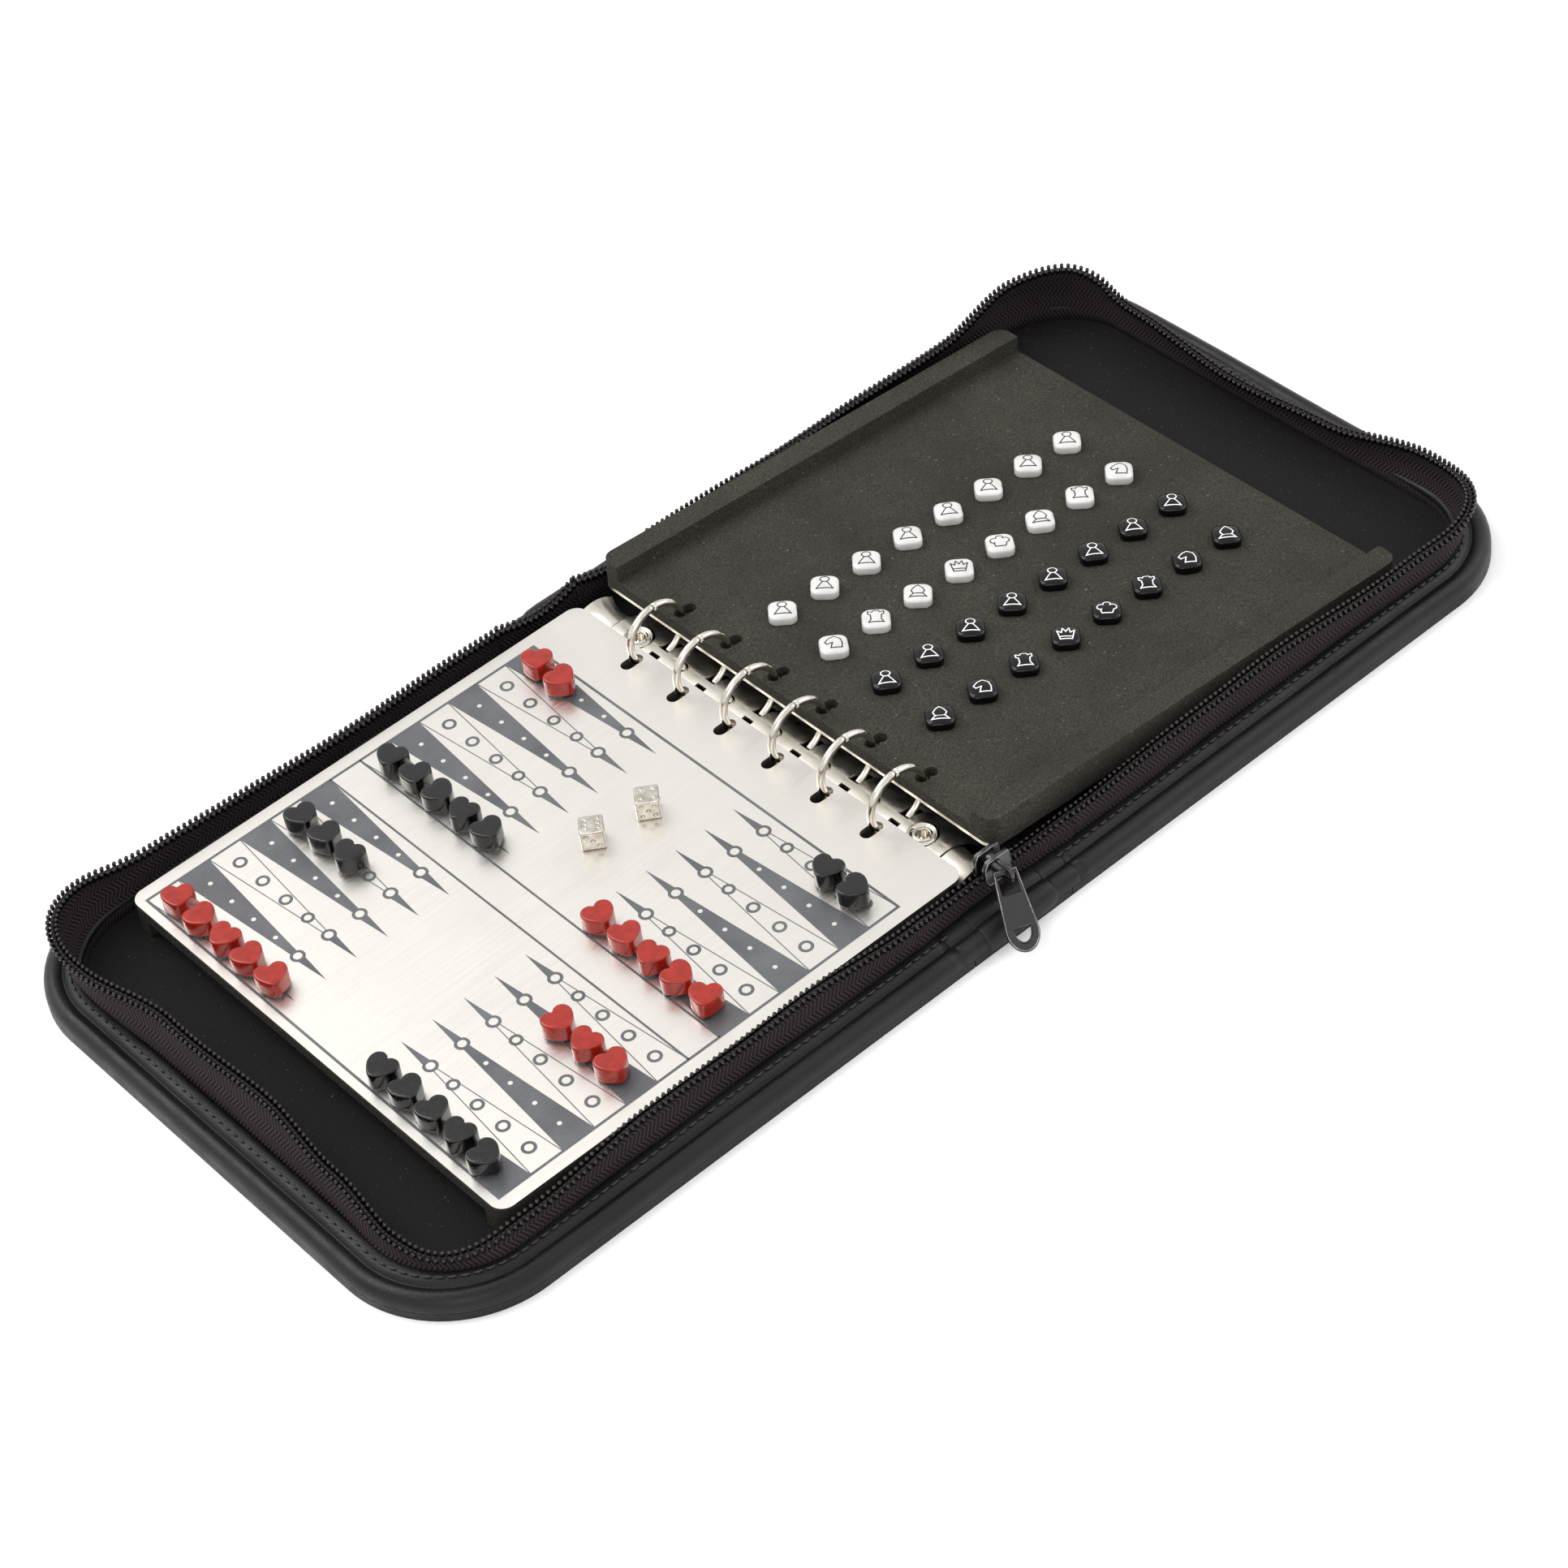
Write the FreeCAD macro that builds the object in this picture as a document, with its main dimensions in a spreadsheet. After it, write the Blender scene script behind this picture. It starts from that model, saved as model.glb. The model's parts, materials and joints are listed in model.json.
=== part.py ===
import FreeCAD, Part
import math
import os
from types import SimpleNamespace

import Sketcher
from FreeCAD import Placement, Rotation, Vector

# Travel games binder, lying open: a zip-round case with a six-ring mechanism on its spine. Each ring
# page is a steel plate backed with foam. The left page lies steel up and carries backgammon, the
# right page lies foam up and stores the chess tiles.
# Frame: +X from the left cover to the right cover, +Y from the near side to the far side, +Z up,
# origin on the table under the middle of the spine. Millimetres.

os.makedirs("parts", exist_ok=True)
doc = FreeCAD.newDocument("games_binder")
sheet = doc.addObject("Spreadsheet::Sheet", "dims")

DIMENSIONS = {
    # case
    "left_length": 191.0, "right_length": 198.0, "half_width": 93.0, "corner_radius": 34.0,
    "shell_thick": 2.4, "lining_thick": 0.8, "hinge_reach": 17.0, "hinge_gap": 0.3,
    "rim_width": 9.0, "rim_rise": 5.6, "rim_start": 3.0, "lining_inset": 9.2,
    "wall_start": 9.4, "wall_thick": 1.2, "wall_height": 12.8, "wall_lean": 1.8, "wall_from": 10.0,
    "coil_radius": 1.4, "patch_half": 12.3, "patch_rise": 4.2, "patch_round": 1.5,
    # pages
    "page_length": 152.0, "page_half": 77.2, "page_corner": 4.0, "plate_thick": 1.0,
    "foam_thick": 3.2, "rail_width": 7.2, "rail_height": 5.0, "foam_setback": 3.4,
    "slot_centre": 5.2, "slot_length": 7.0, "slot_width": 3.6, "slot_opening": 4.2,
    "left_edge": 4.3, "left_gap": 0.3, "right_edge": 5.0, "right_rise": 14.2, "right_tilt": 4.0,
    # ring mechanism
    "ring_pitch": 19.1, "ring_radius": 9.2, "ring_wire": 1.1, "ring_height": 16.8,
    "wire_sweep": 166.0, "wire_notch": 1.2,
    "arch_half": 12.0, "arch_top": 10.0, "arch_thick": 0.8, "arch_half_length": 65.4, "arch_web": 2.3,
    "blade_reach": 5.0, "blade_gap": 0.4, "blade_low": 6.5, "blade_thick": 0.8, "blade_half_length": 50.5,
    "rivet_place": 56.5, "rivet_radius": 3.2, "rivet_rim": 1.3, "rivet_head": 1.0, "rivet_bore": 1.76,
    "stud_radius": 1.7, "stud_sink": 0.4,
    "lever_start": 65.8, "lever_length": 10.5, "lever_thick": 0.9,
    "lever_root": 5.6, "lever_neck": 5.0, "lever_flare": 6.9,
    # zip
    "zip_place": 82.5, "zip_end_drop": 3.0, "slider_length": 8.6, "slider_height": 8.0,
    "slider_thick": 5.0, "slider_round": 1.0,
    "bail_thick": 1.6, "bail_wall": 0.8, "bail_depth": 5.0, "bail_height": 3.4, "bail_rise": 2.8,
    "pull_length": 21.0, "pull_width": 9.6, "pull_neck": 6.4, "pull_thick": 1.2,
    "eye_wall": 0.6, "eye_length": 5.6,
    "pull_slope": 38.0, "pull_turn": 26.0, "pull_round": 3.4,
    # playing pieces
    "board_point": 10.0, "board_half": 72.9, "board_margin": 2.8, "men_across": 4.2, "men_from_edge": 9.5,
    "heart_lobe": 2.45, "heart_spread": 2.1, "heart_rise": 1.35, "heart_tip": 4.3,
    "heart_height": 4.8, "heart_round": 0.6, "magnet_thick": 1.0, "heart_step": 10.2,
    "heart_turn": -36.0, "heart_sway": 47.0, "magnet_share": 0.9,
    "tile_side": 7.8, "tile_height": 3.2, "tile_corner": 2.2, "tile_round": 0.8, "tile_dome": 12.0,
    "tile_step": 15.35, "tile_row": 20.6, "tile_first": 22.0, "tile_far": 26.8,
    "tile_turn": -38.0, "tile_sway": 4.0,
    "die_side": 6.6, "die_round": 0.7, "die_turn": -36.0, "pip_radius": 0.75, "pip_lift": 0.28,
    "pip_spread": 1.65,
}


class Size:
    """A number together with the sheet expression that drives it."""

    def __init__(self, value, text):
        self.value = value
        self.text = text

    def join(self, other, sign, value):
        text = other.text if isinstance(other, Size) else repr(float(other))
        return Size(value, f"({self.text} {sign} {text})")

    def __add__(self, other):
        return self.join(other, "+", self.value + number(other))

    def __sub__(self, other):
        return self.join(other, "-", self.value - number(other))

    def __mul__(self, other):
        return self.join(other, "*", self.value * number(other))

    def __truediv__(self, other):
        return self.join(other, "/", self.value / number(other))

    def __neg__(self):
        return Size(-self.value, f"(0 - {self.text})")


def number(size):
    return size.value if isinstance(size, Size) else float(size)


def fill_sheet():
    """Write the driving dimensions to the sheet and return them as Size values."""
    sizes = {}
    for row, (alias, value) in enumerate(DIMENSIONS.items(), start=1):
        sheet.set(f"A{row}", alias)
        sheet.set(f"B{row}", str(value))
        sheet.setAlias(f"B{row}", alias)
        sizes[alias] = Size(value, f"dims.{alias}")
    doc.recompute()
    return SimpleNamespace(**sizes)


d = fill_sheet()
floor_top = d.shell_thick + d.lining_thick
kept = []  # the sub-parts that are written out
TOUCH = 1e-4  # two places nearer than this are the same


# ---------------------------------------------------------------- helpers


def bind(item, name, size):
    """Set a property and, for a Size, bind it to the sheet."""
    setattr(item, name, number(size))
    if isinstance(size, Size):
        item.setExpression(name, size.text)


def place(item, x=0.0, y=0.0, z=0.0, rotation=None):
    """Place an item; coordinates given as Size stay bound to the sheet."""
    item.Placement = Placement(Vector(number(x), number(y), number(z)), rotation or Rotation())
    for axis, size in zip("xyz", (x, y, z)):
        if isinstance(size, Size):
            item.setExpression(f"Placement.Base.{axis}", size.text)
    return item


def keep(item, label):
    item.Label = label
    kept.append(item)
    return item


def new_body(label, x=0.0, y=0.0, z=0.0, rotation=None):
    body = doc.addObject("PartDesign::Body", label + "_body")
    return place(body, x, y, z, rotation)


def new_sketch(body, name, role, offset=0.0):
    sketch = body.newObject("Sketcher::SketchObject", name)
    plane = next(item for item in body.Origin.OriginFeatures if item.Role == role)
    sketch.AttachmentSupport = (plane, [""])
    sketch.MapMode = "FlatFace"
    set_back(sketch, offset)
    return sketch


def set_back(sketch, offset):
    """Move a sketch along its plane's normal, bound to the sheet."""
    sketch.AttachmentOffset = Placement(Vector(0, 0, number(offset)), Rotation())
    if isinstance(offset, Size):
        sketch.setExpression("AttachmentOffset.Base.z", offset.text)


def constrain(sketch, kind, places, size):
    """Add a dimension to a sketch and bind it to the sheet."""
    index = sketch.addConstraint(Sketcher.Constraint(kind, *places, number(size)))
    if isinstance(size, Size):
        sketch.setExpression(f"Constraints[{index}]", size.text)


def outline(body, name, role, points, offset=0.0):
    """A closed polygon; every corner is bound by its two coordinates."""
    sketch = new_sketch(body, name, role, offset)
    corners = [Vector(number(u), number(v), 0) for u, v in points]
    count = len(corners)
    for i in range(count):
        sketch.addGeometry(Part.LineSegment(corners[i], corners[(i + 1) % count]))
    for i in range(count):
        sketch.addConstraint(Sketcher.Constraint("Coincident", i, 2, (i + 1) % count, 1))
    for i, (u, v) in enumerate(points):
        constrain(sketch, "DistanceX", (-1, 1, i, 1), u)
        constrain(sketch, "DistanceY", (-1, 1, i, 1), v)
    return sketch


def rectangle(body, name, x_low, x_high, y_low, y_high, offset=0.0):
    points = [(x_low, y_low), (x_high, y_low), (x_high, y_high), (x_low, y_high)]
    return outline(body, name, "XY_Plane", points, offset)


def stadium(body, name, role, centre_u, centre_v, length, width):
    """A slot outline that runs along the sketch's first axis."""
    sketch = new_sketch(body, name, role)
    reach = length / 2 - width / 2
    u, v = number(centre_u), number(centre_v)
    run, half = number(reach), number(width) / 2
    turn = math.pi / 2
    right = Part.Circle(Vector(u + run, v, 0), Vector(0, 0, 1), half)
    left = Part.Circle(Vector(u - run, v, 0), Vector(0, 0, 1), half)
    sketch.addGeometry(Part.ArcOfCircle(right, -turn, turn))
    sketch.addGeometry(Part.LineSegment(Vector(u + run, v + half, 0), Vector(u - run, v + half, 0)))
    sketch.addGeometry(Part.ArcOfCircle(left, turn, 3 * turn))
    sketch.addGeometry(Part.LineSegment(Vector(u - run, v - half, 0), Vector(u + run, v - half, 0)))
    for i in range(4):
        sketch.addConstraint(Sketcher.Constraint("Tangent", i, 2, (i + 1) % 4, 1))
    sketch.addConstraint(Sketcher.Constraint("Equal", 0, 2))
    constrain(sketch, "Radius", (0,), width / 2)
    constrain(sketch, "DistanceX", (-1, 1, 0, 3), centre_u + reach)
    constrain(sketch, "DistanceX", (-1, 1, 2, 3), centre_u - reach)
    constrain(sketch, "DistanceY", (-1, 1, 0, 3), centre_v)
    sketch.addConstraint(Sketcher.Constraint("Horizontal", 1))
    return sketch


def pad(body, name, sketch, length):
    feature = body.newObject("PartDesign::Pad", name)
    feature.Profile = sketch
    bind(feature, "Length", length)
    doc.recompute()
    return feature


def cut_through(body, name, sketch):
    """A pocket through the whole body; it has to take material away."""
    before = body.Shape.Volume
    feature = body.newObject("PartDesign::Pocket", name)
    feature.Profile = sketch
    feature.Type = "ThroughAll"
    feature.Midplane = True
    doc.recompute()
    if body.Shape.Volume >= before:
        raise RuntimeError(f"{name} cut nothing")
    return feature


def round_edges(body, name, wanted, radius):
    """Fillet the edges of the body's tip that the function wanted picks."""
    base = body.Tip
    names = [f"Edge{i}" for i, edge in enumerate(base.Shape.Edges, 1) if wanted(edge)]
    feature = body.newObject("PartDesign::Fillet", name)
    feature.Base = (base, names)
    bind(feature, "Radius", radius)
    doc.recompute()
    return feature


def upright(edge):
    """True for an edge that runs along Z."""
    return edge.BoundBox.XLength < TOUCH and edge.BoundBox.YLength < TOUCH


def edge_centre(edge):
    return edge.BoundBox.Center


def round_block(name, block, wanted, radius):
    """A Part::Fillet on the edges of a block that the function wanted picks."""
    doc.recompute()
    item = doc.addObject("Part::Fillet", name)
    item.Base = block
    edges = [i for i, edge in enumerate(block.Shape.Edges, 1) if wanted(edge)]
    item.Edges = [(i, radius.value, radius.value) for i in edges]
    return item


def box(name, x, y, z, length, width, height):
    """A block between two corners: x, y, z is its low corner."""
    item = doc.addObject("Part::Box", name)
    bind(item, "Length", length)
    bind(item, "Width", width)
    bind(item, "Height", height)
    return place(item, x, y, z)


def cylinder(name, radius, height, x, y, z, rotation=None):
    item = doc.addObject("Part::Cylinder", name)
    bind(item, "Radius", radius)
    bind(item, "Height", height)
    return place(item, x, y, z, rotation)


def sphere(name, radius, x, y, z):
    item = doc.addObject("Part::Sphere", name)
    bind(item, "Radius", radius)
    return place(item, x, y, z)


def combine(kind, name, shapes):
    """A Part::MultiFuse, Part::MultiCommon or Part::Compound of several objects."""
    item = doc.addObject(kind, name)
    if kind == "Part::Compound":
        item.Links = shapes
    else:
        item.Shapes = shapes
    return item


def cut(name, base, tool):
    item = doc.addObject("Part::Cut", name)
    item.Base = base
    item.Tool = tool
    return item


# ---------------------------------------------------------------- case

SIDES = {"left": Rotation(Vector(0, 0, 1), 180), "right": Rotation()}
cover_from = d.hinge_reach + d.hinge_gap
cover_lengths = {"left": d.left_length - cover_from, "right": d.right_length - cover_from}


def rim_path(body, name, side, start):
    """The cover's outer edge, on its three free sides, as an open path with round corners."""
    sketch = new_sketch(body, name, "XY_Plane")
    length = cover_lengths[side]
    reach, half, radius = length.value, d.half_width.value, d.corner_radius.value
    turn = math.pi / 2
    far = Part.Circle(Vector(reach - radius, half - radius, 0), Vector(0, 0, 1), radius)
    near = Part.Circle(Vector(reach - radius, radius - half, 0), Vector(0, 0, 1), radius)
    begin = start.value
    sketch.addGeometry(Part.LineSegment(Vector(begin, half, 0), Vector(reach - radius, half, 0)))
    sketch.addGeometry(Part.ArcOfCircle(far, 0, turn))
    sketch.addGeometry(Part.LineSegment(Vector(reach, half - radius, 0), Vector(reach, radius - half, 0)))
    sketch.addGeometry(Part.ArcOfCircle(near, -turn, 0))
    sketch.addGeometry(Part.LineSegment(Vector(reach - radius, -half, 0), Vector(begin, -half, 0)))
    for first, first_end, second, second_end in ((0, 2, 1, 2), (1, 1, 2, 1), (2, 2, 3, 2), (3, 1, 4, 1)):
        sketch.addConstraint(Sketcher.Constraint("Tangent", first, first_end, second, second_end))
    sketch.addConstraint(Sketcher.Constraint("Horizontal", 0))
    sketch.addConstraint(Sketcher.Constraint("Symmetric", 0, 1, 4, 2, -1))
    sketch.addConstraint(Sketcher.Constraint("Equal", 1, 3))
    constrain(sketch, "Radius", (1,), d.corner_radius)
    constrain(sketch, "DistanceX", (-1, 1, 0, 1), start)
    constrain(sketch, "DistanceY", (-1, 1, 0, 1), d.half_width)
    constrain(sketch, "DistanceX", (-1, 1, 2, 1), length)
    return sketch


def sweep(body, name, profile, side, start):
    """Sweep a profile along the cover's outer edge."""
    path = rim_path(body, name + "_path", side, start)
    doc.recompute()
    feature = body.newObject("PartDesign::AdditivePipe", name)
    feature.Profile = profile
    feature.Spine = (path, [f"Edge{i}" for i in range(1, 6)])
    doc.recompute()
    return feature


def cover_body(label, side, rise=0.0):
    """A body whose x runs outward from the cover's hinge edge."""
    return new_body(label, cover_from if side == "right" else -cover_from, 0, rise, SIDES[side])


def cover_sheet(label, side, low, inset, rise, thick):
    """A flat sheet of the cover with two round outer corners."""
    body = cover_body(label, side, rise)
    reach = cover_lengths[side] - inset
    half = d.half_width - inset
    profile = rectangle(body, label + "_outline", low, reach, -half, half)
    pad(body, label + "_pad", profile, thick)
    middle = reach.value / 2
    outer = d.corner_radius - inset
    round_edges(body, label + "_corners", lambda e: upright(e) and edge_centre(e).x > middle, outer)
    keep(body, label)


def cover_shell(side):
    """Stiff board wrapped in smooth leathercloth."""
    cover_sheet(side + "_shell", side, 0.0, 0.0, 0.0, d.shell_thick)


def cover_lining(side):
    """Woven nylon lining inside the rim."""
    cover_sheet(side + "_lining", side, d.hinge_gap * 2, d.lining_inset, d.shell_thick, d.lining_thick)


def cover_rim(side):
    """Padded roll around the three free edges of a cover."""
    body = cover_body(side + "_rim", side)
    middle = d.half_width - d.rim_width / 2
    height = d.shell_thick + d.rim_rise / 2
    profile = stadium(body, side + "_rim_profile", "YZ_Plane", middle, height, d.rim_width, d.rim_rise)
    set_back(profile, d.rim_start)
    sweep(body, side + "_rim_roll", profile, side, d.rim_start)
    keep(body, side + "_rim")


def cover_wall(side):
    """Zip tape that stands up inside the rim and leans a little inward."""
    body = cover_body(side + "_zip_tape", side)
    foot = d.half_width - d.wall_start
    top = foot - d.wall_lean
    rise = floor_top + d.wall_height
    corners = [(foot, floor_top), (top, rise), (top - d.wall_thick, rise), (foot - d.wall_thick, floor_top)]
    profile = outline(body, side + "_wall_profile", "YZ_Plane", corners, d.wall_from)
    sweep(body, side + "_wall", profile, side, d.wall_from)
    keep(body, side + "_zip_tape")


def cover_coil(side):
    """Row of zip teeth along the top of the tape, as one round rod."""
    body = cover_body(side + "_zip_coil", side)
    profile = new_sketch(body, side + "_coil_profile", "YZ_Plane", d.wall_from)
    middle = d.half_width - d.wall_start - d.wall_lean - d.wall_thick / 2
    height = floor_top + d.wall_height + d.coil_radius
    centre = Vector(middle.value, height.value, 0)
    profile.addGeometry(Part.Circle(centre, Vector(0, 0, 1), d.coil_radius.value))
    constrain(profile, "Radius", (0,), d.coil_radius)
    constrain(profile, "DistanceX", (-1, 1, 0, 3), middle)
    constrain(profile, "DistanceY", (-1, 1, 0, 3), height)
    sweep(body, side + "_coil", profile, side, d.wall_from)
    keep(body, side + "_zip_coil")


def spine():
    """The strip between the covers, with a padded patch and a zip end at each end of it."""
    reach = d.hinge_reach
    full = d.half_width * 2
    keep(box("spine_shell_box", -reach, -d.half_width, 0, reach * 2, full, d.shell_thick), "spine_shell")
    inner = d.half_width - d.lining_inset
    half = reach - d.hinge_gap
    lining = box("spine_lining_box", -half, -inner, d.shell_thick, half * 2, inner * 2, d.lining_thick)
    keep(lining, "spine_lining")
    top = (d.shell_thick + d.patch_rise).value
    size = (d.patch_half * 2, d.rim_width, d.patch_rise)
    for name, low in (("near", -d.half_width), ("far", d.half_width - d.rim_width)):
        block = box(name + "_patch_box", -d.patch_half, low, d.shell_thick, *size)
        patch = round_block(
            name + "_patch_round", block, lambda e: abs(edge_centre(e).z - top) < TOUCH, d.patch_round
        )
        keep(patch, name + "_patch")
    stub = d.wall_thick * 2
    half = d.slider_length / 2 - d.hinge_gap
    for name, middle in (("near", -d.zip_place), ("far", d.zip_place)):
        low = middle - stub / 2
        end = box(name + "_end_box", -half, low, floor_top, half * 2, stub, d.wall_height - d.zip_end_drop)
        keep(end, name + "_zip_end")


# ---------------------------------------------------------------- pages

page_thick = d.plate_thick + d.foam_thick + d.rail_height
left_rise = floor_top + d.left_gap + page_thick
PAGES = {
    "left": Placement(Vector(-d.left_edge.value, 0, left_rise.value), Rotation(Vector(0, 1, 0), 180)),
    "right": Placement(
        Vector(d.right_edge.value, 0, d.right_rise.value), Rotation(Vector(0, 1, 0), d.right_tilt.value)
    ),
}


FOAM_STARTS = {"left": d.foam_setback, "right": 0.0}


def page_body(side, name):
    """A body in the page's own frame: x from the ring edge outward, z from the steel to the foam."""
    body = doc.addObject("PartDesign::Body", f"{side}_{name}_body")
    body.Placement = PAGES[side]
    return body


def ring_slots(body, name, length, middle):
    """Six oval holes for the rings."""
    first = d.ring_pitch * -2.5
    profile = stadium(body, name + "_slot", "XY_Plane", middle, first, length, d.slot_width)
    before = body.Shape.Volume
    first_cut = cut_through(body, name + "_slots", profile)
    one = before - body.Shape.Volume
    pattern = body.newObject("PartDesign::LinearPattern", name + "_row")
    pattern.Originals = [first_cut]
    pattern.Direction = (profile, ["V_Axis"])
    bind(pattern, "Length", d.ring_pitch * 5)
    pattern.Occurrences = 6
    body.Tip = pattern
    doc.recompute()
    if abs(before - body.Shape.Volume - 6 * one) > 0.02 * one:
        raise RuntimeError(f"{name} has the wrong number of slots")


def page_plate(side):
    label = side + "_plate"
    body = page_body(side, "plate")
    profile = rectangle(body, label + "_outline", 0.0, d.page_length, -d.page_half, d.page_half)
    pad(body, label + "_pad", profile, d.plate_thick)
    round_edges(body, label + "_corners", upright, d.page_corner)
    ring_slots(body, label, d.slot_length, d.slot_centre)
    keep(body, label)


def page_foam(side):
    """Foam sheet. Under the left page it is set back and open at the ring edge, to clear the arch."""
    label = side + "_foam"
    body = page_body(side, "foam")
    low = FOAM_STARTS[side]
    profile = rectangle(
        body, label + "_outline", low, d.page_length, -d.page_half, d.page_half, d.plate_thick
    )
    pad(body, label + "_pad", profile, d.foam_thick)
    round_edges(body, label + "_corners", upright, d.page_corner)
    length, middle = d.slot_length, d.slot_centre
    if side == "left":
        length = length + d.slot_opening
        middle = middle - d.slot_opening / 2
    ring_slots(body, label, length, middle)
    keep(body, label)


def page_rail(side, end):
    """Raised foam strip along one edge of the page."""
    label = f"{side}_{end}_rail"
    body = page_body(side, end + "_rail")
    inner, outer = d.page_half - d.rail_width, d.page_half
    sides = (inner, outer) if end == "far" else (-outer, -inner)
    rise = d.plate_thick + d.foam_thick
    profile = rectangle(body, label + "_outline", FOAM_STARTS[side], d.page_length, *sides, rise)
    pad(body, label + "_pad", profile, d.rail_height)
    edge = outer.value

    def at_edge(item):
        return upright(item) and abs(abs(edge_centre(item).y) - edge) < TOUCH

    round_edges(body, label + "_corners", at_edge, d.page_corner)
    keep(body, label)


# ---------------------------------------------------------------- ring mechanism

arch_rise = d.arch_top - floor_top
LYING = Rotation(Vector(1, 0, 0), 90)
RING_PLACES = [d.ring_pitch * (i - 2.5) for i in range(6)]
arch_clear = arch_rise + 1.0  # taller than the arch, for shapes that are cut or cut with


def arch_radius():
    """Radius of the arch's section, from its half width and its rise."""
    return (d.arch_half * d.arch_half + arch_rise * arch_rise) / (arch_rise * 2)


def arch_round(name, radius, half_length):
    """A cylinder along Y that carries the arch's surface."""
    return cylinder(name, radius, half_length * 2, 0, half_length, d.arch_top - arch_radius(), LYING)


def ring_arch():
    """Plated steel arch, cut for the ring wires and the two rivets."""
    radius = arch_radius()
    outer = arch_round("arch_outer", radius, d.arch_half_length)
    inner = arch_round("arch_inner", radius - d.arch_thick, d.arch_half_length)
    tube = cut("arch_tube", outer, inner)
    size = (d.arch_half * 2, d.arch_half_length * 2, arch_clear)
    span = box("arch_span", -d.arch_half, -d.arch_half_length, floor_top, *size)
    band = combine("Part::MultiCommon", "arch_band", [tube, span])
    tools = []
    length = d.arch_half - d.arch_web
    for i, y in enumerate(RING_PLACES):
        for side in (-1, 1):
            low = d.arch_half / 2 * side - length / 2
            size = (length, d.slot_width, arch_clear)
            tools.append(box(f"arch_slot_{i}_{side + 1}", low, y - d.slot_width / 2, d.blade_low, *size))
    for i, side in enumerate((-1, 1)):
        y = d.rivet_place * side
        tools.append(cylinder(f"arch_rivet_hole_{i}", d.rivet_radius, arch_clear, 0, y, floor_top))
    keep(cut("ring_arch_cut", band, combine("Part::MultiFuse", "arch_tools", tools)), "ring_arch")


def arch_rivets():
    """Two hollow rivets that fix the arch to the spine."""
    rivets = []
    for i, side in enumerate((-1, 1)):
        y = d.rivet_place * side
        rim = d.rivet_radius + d.rivet_rim
        foot = d.arch_top - d.rivet_head
        top = foot + d.arch_thick * 2
        head = cylinder(f"rivet_head_{i}", rim, top - foot, 0, y, foot)
        above = cut(f"rivet_rim_{i}", head, arch_round(f"rivet_clear_{i}", arch_radius(), d.arch_half_length))
        stem = cylinder(f"rivet_stem_{i}", d.rivet_radius, top - floor_top, 0, y, floor_top)
        whole = combine("Part::MultiFuse", f"rivet_whole_{i}", [above, stem])
        bore = cylinder(f"rivet_bore_{i}", d.rivet_bore, arch_clear, 0, y, floor_top + d.arch_thick)
        rivets.append(cut(f"rivet_{i}", whole, bore))
    keep(combine("Part::Compound", "arch_rivets_group", rivets), "arch_rivets")


def arch_studs():
    """Small domed bosses on the arch, one between each two rings."""
    studs = []
    for i in range(5):
        ball = sphere(f"stud_ball_{i}", d.stud_radius, 0, d.ring_pitch * (i - 2), d.arch_top - d.stud_sink)
        clear = arch_round(f"stud_clear_{i}", arch_radius(), d.arch_half_length)
        studs.append(cut(f"stud_{i}", ball, clear))
    keep(combine("Part::Compound", "arch_studs_group", studs), "arch_studs")


def ring_half(side):
    """Six half rings on one side, standing on their hinge blade under the arch."""
    sign = -1 if side == "left" else 1
    low = -d.blade_reach if side == "left" else d.blade_gap
    size = (d.blade_reach - d.blade_gap, d.blade_half_length * 2, d.blade_thick)
    blade = box(side + "_blade_box", low, -d.blade_half_length, d.blade_low, *size)
    keep(blade, side + "_blade")
    # local x points at the ring's top and local y outward, so the arc runs from the top down
    rotation = Rotation(Vector(0, 0, 1), Vector(sign, 0, 0), Vector(0, sign, 0), "XYZ")
    notch = Rotation(Vector(0, 0, 1), d.wire_notch.value)
    wires = []
    for i, y in enumerate(RING_PLACES):
        ring = doc.addObject("Part::Torus", f"{side}_ring_{i}")
        bind(ring, "Radius1", d.ring_radius)
        bind(ring, "Radius2", d.ring_wire)
        bind(ring, "Angle3", d.wire_sweep)
        place(ring, 0, y, d.ring_height, rotation.multiply(notch))
        wires.append(ring)
    group = combine("Part::Compound", side + "_ring_group", wires)
    # everything of the wires below the blade's top face is cut away
    reach = d.ring_radius + d.ring_wire
    size = (reach * 2, d.blade_half_length * 2, d.blade_low + d.blade_thick - floor_top)
    under = box(side + "_ring_trim", -reach, -d.blade_half_length, floor_top, *size)
    keep(cut(side + "_rings_cut", group, under), side + "_rings")


# along a lever: share of its length, half width, height above the arch's top, rise of its curve
LEVER_SECTIONS = [
    (0.0, d.lever_root, -0.2, 2.4), (0.35, d.lever_neck, -0.4, 1.8), (1.0, d.lever_flare, 1.0, 2.6),
]


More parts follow.
